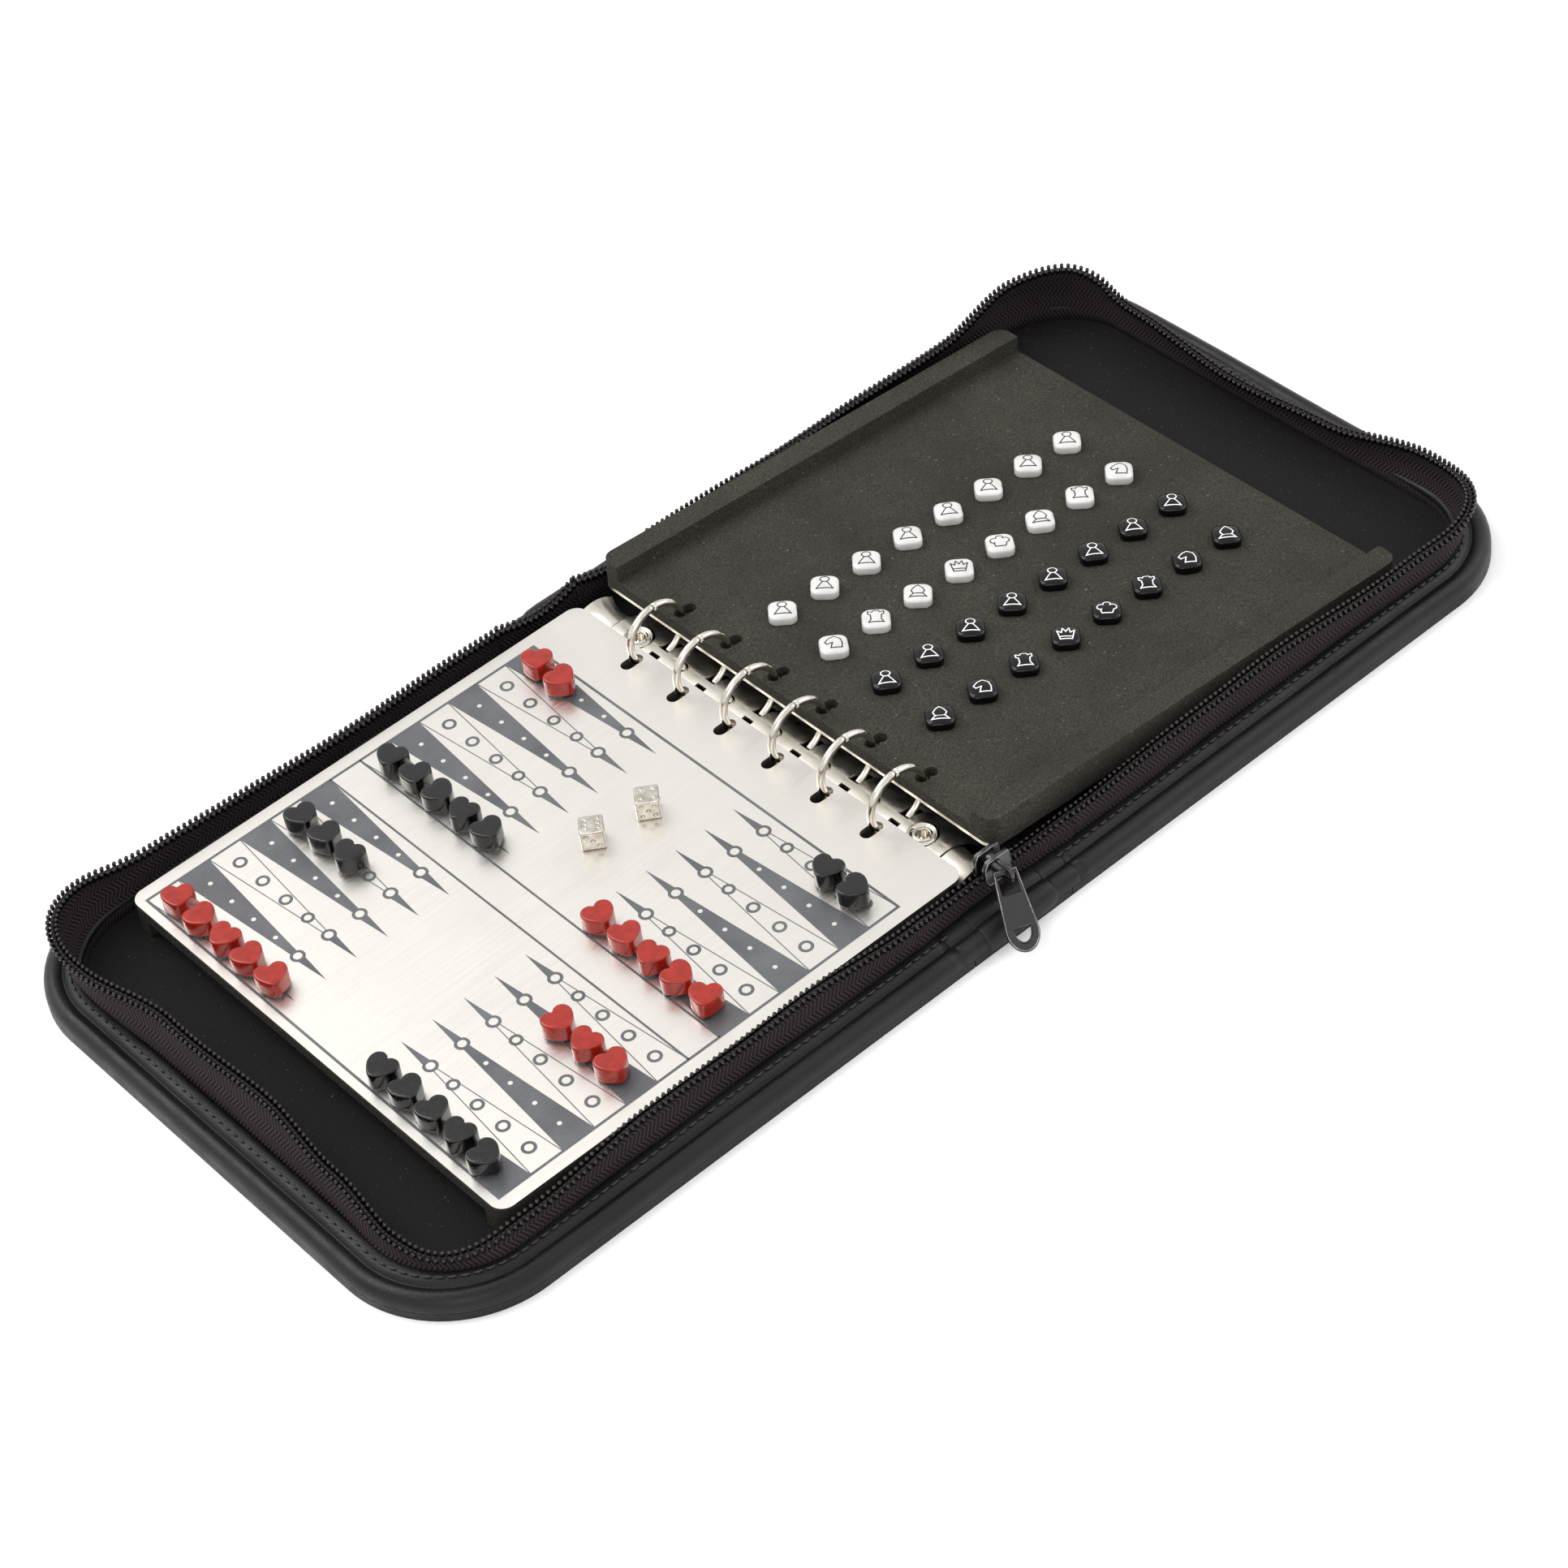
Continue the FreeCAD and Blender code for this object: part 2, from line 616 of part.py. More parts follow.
def lever(end):
    """Flared thumb lever that carries on the arch's curve and opens out."""
    sign = -1 if end == "near" else 1
    start, length, top = d.lever_start.value, d.lever_length.value, d.arch_top.value

    def section(along, half, top, rise):
        """Closed arc band across the lever at one place along it."""
        radius = (half * half + rise * rise) / (2 * rise)
        middle = top - radius
        angle = math.asin(half / radius)
        points = []
        for size in (radius, radius - d.lever_thick.value):
            points.append([
                Vector(size * math.sin(angle * k), sign * along, middle + size * math.cos(angle * k))
                for k in (-1, 0, 1)
            ])
        outer, inner = points
        return Part.Wire([
            Part.Arc(*outer).toShape(),
            Part.LineSegment(outer[2], inner[2]).toShape(),
            Part.Arc(*inner[::-1]).toShape(),
            Part.LineSegment(inner[0], outer[0]).toShape(),
        ])

    sections = [
        section(start + length * share, half.value, top + lift, rise)
        for share, half, lift, rise in LEVER_SECTIONS
    ]
    item = doc.addObject("Part::Feature", end + "_lever_sheet")
    item.Shape = Part.makeLoft(sections, True)
    keep(item, end + "_lever")


# ---------------------------------------------------------------- zip slider and pull


slider_low = floor_top + d.wall_height - d.zip_end_drop
slider_face = -d.zip_place - d.slider_thick / 2
pivot_y = slider_face - d.bail_depth / 2
pivot_z = slider_low + d.bail_rise + d.bail_height / 2


def zip_slider():
    """Slider over the zip's near end, with a bail on its outer face for the pull."""
    size = (d.slider_length, d.slider_thick, d.slider_height)
    block = box("slider_block", -d.slider_length / 2, slider_face, slider_low, *size)
    rounded = round_block("slider_round", block, lambda e: not upright(e), d.slider_round)
    outer = slider_face - d.bail_depth
    foot = slider_low + d.bail_rise
    size = (d.bail_thick, d.bail_depth + d.bail_wall * 2, d.bail_height + d.bail_wall * 2)
    bail = box("slider_bail", -d.bail_thick / 2, outer - d.bail_wall, foot - d.bail_wall, *size)
    size = (d.bail_thick * 2, d.bail_depth, d.bail_height)
    hole = box("slider_bail_hole", -d.bail_thick, outer, foot, *size)
    loop = cut("slider_loop", bail, hole)
    keep(combine("Part::MultiFuse", "slider_whole", [rounded, loop]), "zip_slider")


# the pull's shape as shares of its length and width
PULL_SHOULDER = 0.72
PULL_END = 0.62
MOON_HALF = 0.33
MOON_LEVELS = (0.66, 0.8, 0.9)


def zip_pull():
    """Flat pull on the bail: a narrow eye at the top, a wide end with a half-moon opening."""
    turn = Rotation(Vector(0, 0, 1), -d.pull_turn.value)
    slope = Rotation(Vector(1, 0, 0), d.pull_slope.value)
    body = new_body("zip_pull", 0.0, pivot_y, pivot_z, turn.multiply(slope))
    neck, wide, reach = d.pull_neck / 2, d.pull_width / 2, d.pull_length
    top = d.pull_thick / 2
    shoulder, end = -reach * PULL_SHOULDER, wide * PULL_END
    corners = [(-neck, top), (-wide, shoulder), (-end, -reach), (end, -reach), (wide, shoulder), (neck, top)]
    profile = outline(body, "pull_outline", "XY_Plane", corners, -top)
    pad(body, "pull_pad", profile, d.pull_thick)
    low_half = -reach.value / 2
    round_edges(body, "pull_ends", lambda e: upright(e) and edge_centre(e).y < low_half, d.pull_round)
    eye_half = neck - d.eye_wall
    eye_low = -top - d.eye_length
    eye = [(-eye_half, -top), (-eye_half, eye_low), (eye_half, eye_low), (eye_half, -top)]
    cut_through(body, "pull_eye", outline(body, "pull_eye_outline", "XY_Plane", eye))
    half = d.pull_width * MOON_HALF
    tip = half / 2
    high, low, bottom = (-reach * share for share in MOON_LEVELS)
    moon = [(-half, high), (-half, low), (-tip, bottom), (tip, bottom), (half, low), (half, high)]
    cut_through(body, "pull_moon", outline(body, "pull_moon_outline", "XY_Plane", moon))
    keep(body, "zip_pull")


# ---------------------------------------------------------------- playing pieces

plate_top = PAGES["left"].Base.z
foam_top = number(d.plate_thick + d.foam_thick)


def heart_master(name, lobe, height, low):
    """Heart outline of two round lobes and a tip, padded."""
    body = new_body(name, 0, 0, low)
    sketch = new_sketch(body, name + "_outline", "XY_Plane")
    radius, spread = lobe.value, d.heart_spread.value
    rise, tip = d.heart_rise.value, d.heart_tip.value
    # where the straight sides leave the lobes
    reach = math.hypot(spread, rise + tip)
    lean = math.atan2(rise + tip, spread) - math.acos(radius / reach)
    touch = Vector(spread + radius * math.cos(lean), rise - radius * math.sin(lean), 0)
    notch = Vector(0, rise + math.sqrt(radius ** 2 - spread ** 2), 0)
    notch_angle = math.atan2(notch.y - rise, -spread)
    right = Part.Circle(Vector(spread, rise, 0), Vector(0, 0, 1), radius)
    left = Part.Circle(Vector(-spread, rise, 0), Vector(0, 0, 1), radius)
    point = Vector(0, -tip, 0)
    sketch.addGeometry(Part.LineSegment(point, touch))
    sketch.addGeometry(Part.ArcOfCircle(right, -lean, notch_angle))
    sketch.addGeometry(Part.ArcOfCircle(left, math.pi - notch_angle, math.pi + lean))
    sketch.addGeometry(Part.LineSegment(Vector(-touch.x, touch.y, 0), point))
    sketch.addConstraint(Sketcher.Constraint("Tangent", 0, 2, 1, 1))
    sketch.addConstraint(Sketcher.Constraint("Coincident", 1, 2, 2, 1))
    sketch.addConstraint(Sketcher.Constraint("Tangent", 2, 2, 3, 1))
    sketch.addConstraint(Sketcher.Constraint("Coincident", 3, 2, 0, 1))
    sketch.addConstraint(Sketcher.Constraint("Equal", 1, 2))
    sketch.addConstraint(Sketcher.Constraint("Symmetric", 1, 3, 2, 3, -2))
    constrain(sketch, "Radius", (1,), lobe)
    constrain(sketch, "DistanceX", (-1, 1, 1, 3), d.heart_spread)
    constrain(sketch, "DistanceY", (-1, 1, 1, 3), d.heart_rise)
    constrain(sketch, "DistanceX", (-1, 1, 0, 1), 0.0)
    constrain(sketch, "DistanceY", (-1, 1, 0, 1), -d.heart_tip)
    pad(body, name + "_pad", sketch, height)
    round_edges(body, name + "_tip", lambda e: upright(e) and edge_centre(e).y < -radius, lobe * 0.45)
    return body


def heart_top(body, radius):
    """Round the top edge of a heart."""
    top = max(edge_centre(e).z for e in body.Shape.Edges)
    level = top - body.Placement.Base.z
    round_edges(body, "heart_soft_top", lambda e: abs(edge_centre(e).z - level) < TOUCH, radius)


def copies(label, master, places):
    """One node of identical separate pieces, each a placed copy of the master's solid."""
    item = doc.addObject("Part::Feature", label + "_set")
    item.Shape = Part.makeCompound([
        master.Shape.transformed(where.toMatrix(), True) for where in places
    ])
    keep(item, label)


def board_place(column, row, upper, turn):
    """A spot on the backgammon print: column 0 to 11 from the case's left edge, row 0 at the rim."""
    bar = 1.0 if column > 5 else 0.0
    left = -d.left_edge.value - d.page_length.value + d.board_margin.value
    x = left + (column + bar) * d.board_point.value + d.men_across.value
    y = d.board_half.value - d.men_from_edge.value - row * d.heart_step.value
    return Placement(Vector(x, y if upper else -y, plate_top), Rotation(Vector(0, 0, 1), turn))


# colour, column, far side of the board, number of hearts: the opening position of the game
STACKS = [
    ("red", 0, True, 5), ("red", 4, False, 3), ("red", 6, False, 5), ("red", 11, True, 2),
    ("black", 0, False, 5), ("black", 4, True, 3), ("black", 6, True, 5), ("black", 11, False, 2),
]


def hearts():
    """Thirty heart-shaped men with a magnet layer under each."""
    heart = heart_master("heart", d.heart_lobe, d.heart_height, d.magnet_thick)
    heart_top(heart, d.heart_round)
    magnet = heart_master("magnet", d.heart_lobe * d.magnet_share, d.magnet_thick, 0.0)
    magnets = {"red": [], "black": []}
    for colour, column, upper, count in STACKS:
        places = []
        for row in range(count):
            # men are put down by hand, so each stands at an angle of its own
            wave = math.sin(2.3 * row + 1.7 * column + (0.0 if upper else 2.0))
            turn = d.heart_turn.value + d.heart_sway.value * wave
            places.append(board_place(column, row, upper, turn))
        magnets[colour] += places
        edge = "far" if upper else "near"
        copies(f"{colour}_hearts_{edge}_{column + 1}", heart, places)
    for colour, places in magnets.items():
        copies(f"{colour}_heart_magnets", magnet, places)


# piece kinds along the two back rows, from the ring edge outward
WHITE_ROW = ["knight", "rook", "bishop", "queen", "king", "bishop", "rook", "knight"]
BLACK_ROW = ["bishop", "knight", "rook", "queen", "king", "rook", "knight", "bishop"]


def tile_master():
    """Square tile with round corners and a domed top."""
    body = new_body("tile")
    half = d.tile_side / 2
    profile = rectangle(body, "tile_outline", -half, half, -half, half)
    pad(body, "tile_pad", profile, d.tile_height)
    round_edges(body, "tile_corners", upright, d.tile_corner)
    top = d.tile_height.value
    round_edges(body, "tile_top", lambda e: abs(edge_centre(e).z - top) < TOUCH, d.tile_round)
    ball = sphere("tile_ball", d.tile_dome, 0, 0, d.tile_height - d.tile_dome)
    return combine("Part::MultiCommon", "tile_dome", [body, ball])


def tile_place(column, row):
    """A spot on the right page's foam; each tile stands at an angle of its own."""
    x = d.tile_first.value + column * d.tile_step.value
    y = d.tile_far.value - row * d.tile_row.value
    sway = d.tile_sway.value * math.sin(5 * column + row)
    turn = Rotation(Vector(0, 0, 1), d.tile_turn.value + sway)
    return PAGES["right"].multiply(Placement(Vector(x, y, foam_top), turn))


def chess_tiles():
    """Chess men stored in four rows on the foam."""
    tile = tile_master()
    doc.recompute()
    rows = {"white": (0, 1, WHITE_ROW), "black": (2, 3, BLACK_ROW)}
    for colour, (pawn_row, back_row, kinds) in rows.items():
        copies(colour + "_pawns", tile, [tile_place(i, pawn_row) for i in range(8)])
        for kind in ("king", "queen", "rook", "bishop", "knight"):
            places = [tile_place(i, back_row) for i, name in enumerate(kinds) if name == kind]
            copies(f"{colour}_{kind}", tile, places)


PIPS = {
    1: [(0, 0)], 2: [(-1, -1), (1, 1)], 3: [(-1, -1), (0, 0), (1, 1)],
    4: [(-1, -1), (-1, 1), (1, -1), (1, 1)], 5: [(-1, -1), (-1, 1), (0, 0), (1, -1), (1, 1)],
    6: [(-1, -1), (-1, 0), (-1, 1), (1, -1), (1, 0), (1, 1)],
}


# dice: place on the board, then the numbers on top and in front
DICE = {"left_die": (-60.8, 2.5, 6, 3), "right_die": (-43.9, 0.2, 4, 5)}


def die(label, x, y, top, front):
    """Small metal die with dimple pips; opposite faces add up to seven."""
    side = ({1, 2, 3, 4, 5, 6} - {top, 7 - top, front, 7 - front}).pop()
    faces = {(0, 0, 1): top, (0, 0, -1): 7 - top, (0, -1, 0): front, (0, 1, 0): 7 - front,
             (1, 0, 0): side, (-1, 0, 0): 7 - side}
    half = d.die_side.value / 2
    cube = box(label + "_cube", -half, -half, 0, d.die_side, d.die_side, d.die_side)
    rounded = round_block(label + "_round", cube, lambda e: True, d.die_round)
    balls = []
    for normal, value in faces.items():
        out = Vector(*normal)
        across = Vector(0, 0, 1) if out.z == 0 else Vector(0, 1, 0)
        along = out.cross(across)
        for u, v in PIPS[value]:
            centre = out * (half + d.pip_lift.value) + (along * u + across * v) * d.pip_spread.value
            balls.append(sphere(f"{label}_pip_{len(balls)}", d.pip_radius, *centre))
            balls[-1].Placement.Base.z += half
    whole = cut(label + "_cut", rounded, combine("Part::MultiFuse", label + "_pips", balls))
    place(whole, x, y, plate_top, Rotation(Vector(0, 0, 1), d.die_turn.value))
    keep(whole, label)


# ---------------------------------------------------------------- build

for side in SIDES:
    cover_shell(side)
    cover_lining(side)
    cover_rim(side)
    cover_wall(side)
    cover_coil(side)
spine()
for side in PAGES:
    page_plate(side)
    page_foam(side)
    page_rail(side, "far")
    page_rail(side, "near")
ring_arch()
arch_rivets()
arch_studs()
ring_half("left")
ring_half("right")
lever("far")
lever("near")
zip_slider()
zip_pull()
hearts()
chess_tiles()
for name, spot in DICE.items():
    die(name, *spot)

doc.recompute()
for item in doc.Objects:
    if {"Invalid", "Error"} & set(item.State):
        raise RuntimeError(f"{item.Name} failed: {item.State}")
for item in kept:
    if item.Shape.isNull() or not item.Shape.isValid():
        raise RuntimeError(f"{item.Label} has no valid shape")
    item.Shape.exportStep(f"parts/{item.Label}.step")
    print(item.Label, len(item.Shape.Solids), round(item.Shape.Volume, 1))
print(len(kept), "nodes")
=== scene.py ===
import json
import math

import bmesh
import bpy
from mathutils import Matrix, Vector


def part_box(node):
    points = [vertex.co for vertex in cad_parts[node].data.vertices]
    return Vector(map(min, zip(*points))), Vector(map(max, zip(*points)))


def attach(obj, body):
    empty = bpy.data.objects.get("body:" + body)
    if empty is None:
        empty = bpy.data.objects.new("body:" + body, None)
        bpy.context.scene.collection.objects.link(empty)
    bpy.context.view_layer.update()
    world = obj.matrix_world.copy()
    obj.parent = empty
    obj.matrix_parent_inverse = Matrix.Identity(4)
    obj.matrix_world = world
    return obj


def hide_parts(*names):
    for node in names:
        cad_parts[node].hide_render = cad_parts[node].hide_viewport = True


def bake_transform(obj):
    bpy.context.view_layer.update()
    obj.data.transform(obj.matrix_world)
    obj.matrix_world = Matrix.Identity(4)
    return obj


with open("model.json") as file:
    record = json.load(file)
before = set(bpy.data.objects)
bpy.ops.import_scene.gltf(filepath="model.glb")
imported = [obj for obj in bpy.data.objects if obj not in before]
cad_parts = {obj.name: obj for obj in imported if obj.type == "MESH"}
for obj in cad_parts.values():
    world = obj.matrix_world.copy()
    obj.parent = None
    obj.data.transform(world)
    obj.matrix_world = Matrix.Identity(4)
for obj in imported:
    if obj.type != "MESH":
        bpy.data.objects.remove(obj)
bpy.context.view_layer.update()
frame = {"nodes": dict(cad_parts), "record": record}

# Games binder, lying open. The rims, patches, zip walls and teeth, the stitching, the ring wires, rivets and
# studs, the slider and its pull, the men and tiles, the board print and the chess symbols are made here.
# Boards, linings, foam, plates, arch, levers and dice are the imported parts. Metres, as in the frame.

MM = 0.001
COVERS = {"left": -1, "right": 1}
ENDS = {"far": 1, "near": -1}


# ---------------------------------------------------------------- finishes


def linear(text, alpha=1.0):
    """Linear colour from sRGB hex."""
    parts = [int(text[i:i + 2], 16) / 255 for i in (0, 2, 4)]
    return (*[c / 12.92 if c <= 0.04045 else ((c + 0.055) / 1.055) ** 2.4 for c in parts], alpha)


def node(tree, kind, inputs=None, **settings):
    """Add a node; an input is a value or another node's output socket."""
    made = tree.nodes.new(kind)
    for name, value in settings.items():
        setattr(made, name, value)
    for name, value in (inputs or {}).items():
        if isinstance(value, bpy.types.NodeSocket):
            tree.links.new(value, made.inputs[name])
        else:
            made.inputs[name].default_value = value
    return made


def finish(name, colour, **sockets):
    """A material with its shader's own values set; returns the material, its tree and its shader."""
    material = bpy.data.materials.new(name)
    material.use_nodes = True
    tree = material.node_tree
    shader = tree.nodes["Principled BSDF"]
    shader.inputs["Base Color"].default_value = linear(colour)
    for socket, value in sockets.items():
        shader.inputs[socket.replace("_", " ")].default_value = value
    return material, tree, shader


def clouds(tree, size, low=0.0, high=1.0, detail=2.0, spread=0.2, middle=0.5, scale=(1.0, 1.0, 1.0)):
    """Soft lumps about size metres across, as a value that runs from low to high."""
    where = node(tree, "ShaderNodeTexCoord").outputs["Object"]
    laid = node(tree, "ShaderNodeMapping", {"Vector": where, "Scale": scale})
    lumps = node(tree, "ShaderNodeTexNoise", {
        "Vector": laid.outputs[0], "Scale": 1.0 / size, "Detail": detail,
    })
    return node(tree, "ShaderNodeMapRange", {
        "Value": lumps.outputs["Fac"], "From Min": middle - spread, "From Max": middle + spread,
        "To Min": low, "To Max": high,
    }).outputs["Result"]


def colour_layers(tree, shader, ground, layers):
    """Base colour in layers: each is an amount, from a pattern, and the colour that it lays on."""
    under = linear(ground)
    for amount, colour in layers:
        mixed = node(tree, "ShaderNodeMix", {0: amount, 6: under, 7: linear(colour)}, data_type="RGBA")
        under = mixed.outputs[2]
    tree.links.new(under, shader.inputs["Base Color"])


def uneven_gloss(tree, shader, size, low, high, **shape):
    """Roughness that drifts between two values."""
    tree.links.new(clouds(tree, size, low, high, **shape), shader.inputs["Roughness"])


def grain(tree, shader, size, depth, **shape):
    """A fine uneven surface of the given depth in metres."""
    lumps = clouds(tree, size, **shape)
    bump = node(tree, "ShaderNodeBump", {"Height": lumps, "Distance": depth, "Strength": 1.0})
    tree.links.new(bump.outputs["Normal"], shader.inputs["Normal"])


def calendered_leathercloth():
    # PVC-coated cloth pressed smooth: a satin black that shows its edges as soft grey bands
    material, tree, shader = finish(
        "calendered_leathercloth", "101011", Roughness=0.42, Specular_IOR_Level=0.3,
    )
    colour_layers(tree, shader, "0E0E0F", [(clouds(tree, 18 * MM, detail=3.0), "161617")])
    uneven_gloss(tree, shader, 7 * MM, 0.34, 0.5)
    grain(tree, shader, 0.6 * MM, 0.04 * MM, detail=3.0)
    return material


def crossed_threads(tree, thread):
    """Plain weave of square cells: high where warp or weft lies on top."""
    where = node(tree, "ShaderNodeTexCoord").outputs["Object"]
    split = node(tree, "ShaderNodeSeparateXYZ", {"Vector": where})
    ways = []
    for axis in (0, 1):
        across = {0: split.outputs[axis], 1: math.pi / thread}
        run = node(tree, "ShaderNodeMath", across, operation="MULTIPLY")
        ways.append(node(tree, "ShaderNodeMath", {0: run.outputs[0]}, operation="SINE").outputs[0])
    return node(tree, "ShaderNodeMath", {0: ways[0], 1: ways[1]}, operation="MULTIPLY").outputs[0]


def woven_nylon():
    # nylon pack cloth: dull black with a tight weave and a few pale specks of lint
    material, tree, shader = finish("woven_nylon", "0E0D0F", Roughness=0.78, Specular_IOR_Level=0.2)
    shader.inputs["Sheen Weight"].default_value = 0.03
    # threads are about 0.2 mm; they are drawn at 0.45 mm, because finer ones would not show at all
    cloth = crossed_threads(tree, 0.45 * MM)
    raised = node(tree, "ShaderNodeMapRange", {"Value": cloth, "From Min": -1.0}).outputs["Result"]
    lint = clouds(tree, 0.5 * MM, 0.0, 0.6, detail=0.0, spread=0.015, middle=0.86)
    # the raised threads are painted lighter than the sunk ones: painted highlight on the weave; the lint
    # specks are real
    colour_layers(tree, shader, "0A090B", [(raised, "161416"), (lint, "77727A")])
    bump = node(tree, "ShaderNodeBump", {"Height": cloth, "Distance": 0.06 * MM, "Strength": 1.0})
    tree.links.new(bump.outputs["Normal"], shader.inputs["Normal"])
    return material


def herringbone_tape():
    # polyester zip tape: ribs that turn back in chevrons, brown-black; reads its own strip map in metres
    material, tree, shader = finish("herringbone_tape", "1C1619", Roughness=0.82, Specular_IOR_Level=0.25)
    rib, column, lean = 1.3 * MM, 2.6 * MM, 0.7
    strip = node(tree, "ShaderNodeUVMap", uv_map="strip").outputs[0]
    split = node(tree, "ShaderNodeSeparateXYZ", {"Vector": strip})
    fold = node(tree, "ShaderNodeMath", {0: split.outputs[1], 1: column}, operation="PINGPONG")
    slant = node(tree, "ShaderNodeMath", {
        0: fold.outputs[0], 1: lean, 2: split.outputs[0],
    }, operation="MULTIPLY_ADD")
    run = node(tree, "ShaderNodeMath", {0: slant.outputs[0], 1: math.tau / rib}, operation="MULTIPLY")
    ribs = node(tree, "ShaderNodeMath", {0: run.outputs[0]}, operation="SINE").outputs[0]
    raised = node(tree, "ShaderNodeMapRange", {"Value": ribs, "From Min": -1.0}).outputs["Result"]
    # the ribs' tops are painted lighter and the grooves between them darker: painted highlight and shade over
    # the real ribs
    colour_layers(tree, shader, "0B0809", [(raised, "382C31")])
    bump = node(tree, "ShaderNodeBump", {"Height": ribs, "Distance": 0.16 * MM, "Strength": 1.0})
    tree.links.new(bump.outputs["Normal"], shader.inputs["Normal"])
    return material


def drawn_nylon_coil():
    # nylon monofilament: glossy black loops with small white highlights
    material, tree, shader = finish("drawn_nylon_coil", "070708", Roughness=0.12, IOR=1.53)
    uneven_gloss(tree, shader, 3 * MM, 0.08, 0.18)
    return material


def black_enamel_zinc():
    # stove-enamelled zinc casting: black with a broken shine
    material, tree, shader = finish(
        "black_enamel_zinc", "111112", Roughness=0.25, Coat_Weight=0.5, Coat_Roughness=0.1,
    )
    uneven_gloss(tree, shader, 1.5 * MM, 0.16, 0.36)
    grain(tree, shader, 0.6 * MM, 0.02 * MM, detail=3.0)
    return material


def bright_nickel():
    # nickel plate on pressed steel: a warm mirror with slight haze and fine scratches
    material, tree, shader = finish("bright_nickel", "DAD4C8", Metallic=1.0, Roughness=0.14)
    colour_layers(tree, shader, "CFC9BD", [(clouds(tree, 9 * MM), "E4DFD5")])
    uneven_gloss(tree, shader, 0.8 * MM, 0.08, 0.2, detail=3.0, scale=(1.0, 0.12, 1.0))
    return material


def hazed_nickel():
    # the same plate on the arch and the levers, hazed by handling: its reflections spread softly
    material, tree, shader = finish("hazed_nickel", "E2DCD0", Metallic=1.0, Roughness=0.34)
    colour_layers(tree, shader, "D8D2C6", [(clouds(tree, 7 * MM), "EAE5DB")])
    uneven_gloss(tree, shader, 5 * MM, 0.26, 0.42, detail=3.0)
    return material


def brushed_steel():
    # stainless sheet, brushed along its length and left satin: near white, with faint streaks along X
    material, tree, shader = finish("brushed_steel", "F1EEE8", Metallic=1.0, Roughness=0.36)
    lines = {"detail": 4.0, "scale": (0.02, 1.0, 1.0)}
    streaks = clouds(tree, 0.5 * MM, 0.0, 0.6, **lines)
    smudges = clouds(tree, 26 * MM, 0.0, 0.25, detail=3.0, middle=0.6, spread=0.15)
    colour_layers(tree, shader, "E6E2DC", [(streaks, "DDD9D3"), (smudges, "CFCBC5")])
    uneven_gloss(tree, shader, 0.5 * MM, 0.31, 0.42, **lines)
    grain(tree, shader, 0.5 * MM, 0.003 * MM, **lines)
    return material


def closed_cell_foam():
    # EVA foam sheet: soft brown-black with fine cells and tiny pale specks where cells are cut
    material, tree, shader = finish("closed_cell_foam", "2E2D2B", Roughness=0.88, Specular_IOR_Level=0.25)
    cells = clouds(tree, 0.6 * MM, 0.0, 0.75, detail=3.0, spread=0.13)
    specks = clouds(tree, 0.8 * MM, 0.0, 0.55, detail=1.0, middle=0.76, spread=0.03)
    drift = clouds(tree, 22 * MM, detail=4.0)
    colour_layers(tree, shader, "33312B", [(drift, "423F38"), (cells, "211F1B"), (specks, "8D877B")])
    grain(tree, shader, 0.6 * MM, 0.1 * MM, detail=3.0)
    return material


def poured_enamel(name, dark, light, coat):
    """Glossy resin paint: a clear coat over a colour that pools a little unevenly on the sides."""
    material, tree, shader = finish(
        name, light, Roughness=0.2, Coat_Weight=coat, Coat_Roughness=0.04, Specular_IOR_Level=0.3,
    )
    colour_layers(tree, shader, dark, [(clouds(tree, 2.4 * MM, detail=3.0, spread=0.15), light)])
    uneven_gloss(tree, shader, 1.6 * MM, 0.14, 0.3)
    grain(tree, shader, 1.7 * MM, 0.03 * MM)
    return material


def bonded_magnet():
    # ferrite in rubber, glued on with clear resin that smears at the edge: dark with a broken gloss
    material, tree, shader = finish("bonded_magnet", "1F1917", Roughness=0.3, Coat_Weight=0.5)
    colour_layers(tree, shader, "120E0D", [(clouds(tree, 0.9 * MM, detail=3.0, spread=0.12), "4A3B37")])
    grain(tree, shader, 0.7 * MM, 0.08 * MM)
    return material


def white_urea():
    # moulded urea plastic: satin white, a little uneven in tone and polish
    material, tree, shader = finish(
        "white_urea", "D2D1CE", Roughness=0.28, Coat_Weight=0.2, Coat_Roughness=0.1,
    )
    colour_layers(tree, shader, "C8C7C4", [(clouds(tree, 5 * MM), "DAD9D6")])
    uneven_gloss(tree, shader, 5 * MM, 0.22, 0.36)
    return material


def black_urea():
    # the same plastic in black, polished to a high gloss
    material, tree, shader = finish("black_urea", "070708", Roughness=0.1, Specular_IOR_Level=0.3)
    uneven_gloss(tree, shader, 4 * MM, 0.06, 0.16)
    return material


def cast_pewter():
    # polished pewter: silver with soft scratches
    material, tree, shader = finish("cast_pewter", "CFCAC0", Metallic=1.0, Roughness=0.22)
    colour_layers(tree, shader, "B9B3A7", [(clouds(tree, 2 * MM, detail=3.0), "DAD6CD")])
    uneven_gloss(tree, shader, 0.7 * MM, 0.14, 0.34, detail=3.0)
    return material


def screen_ink():
    # screen-printed ink, thin enough that the steel's shine comes through: slate grey
    material, tree, shader = finish("screen_ink", "6B7076", Metallic=0.35, Roughness=0.3)
    colour_layers(tree, shader, "58595C", [(clouds(tree, 14 * MM, detail=3.0), "6C6D70")])
    uneven_gloss(tree, shader, 0.5 * MM, 0.24, 0.38)
    return material


def pad_ink(name, colour):
    """Pad-printed line: thin, slightly raised and a little uneven in gloss."""
    material, tree, shader = finish(name, colour, Roughness=0.4)
    uneven_gloss(tree, shader, 0.6 * MM, 0.32, 0.5)
    return material


def bonded_thread():
    # bonded polyester sewing thread: dark grey with a twist that shows as fine uneven lines
    material, tree, shader = finish("bonded_thread", "2C2C2E", Roughness=0.5)
    grain(tree, shader, 0.3 * MM, 0.04 * MM, detail=1.0, scale=(1.0, 0.4, 1.0))
    return material


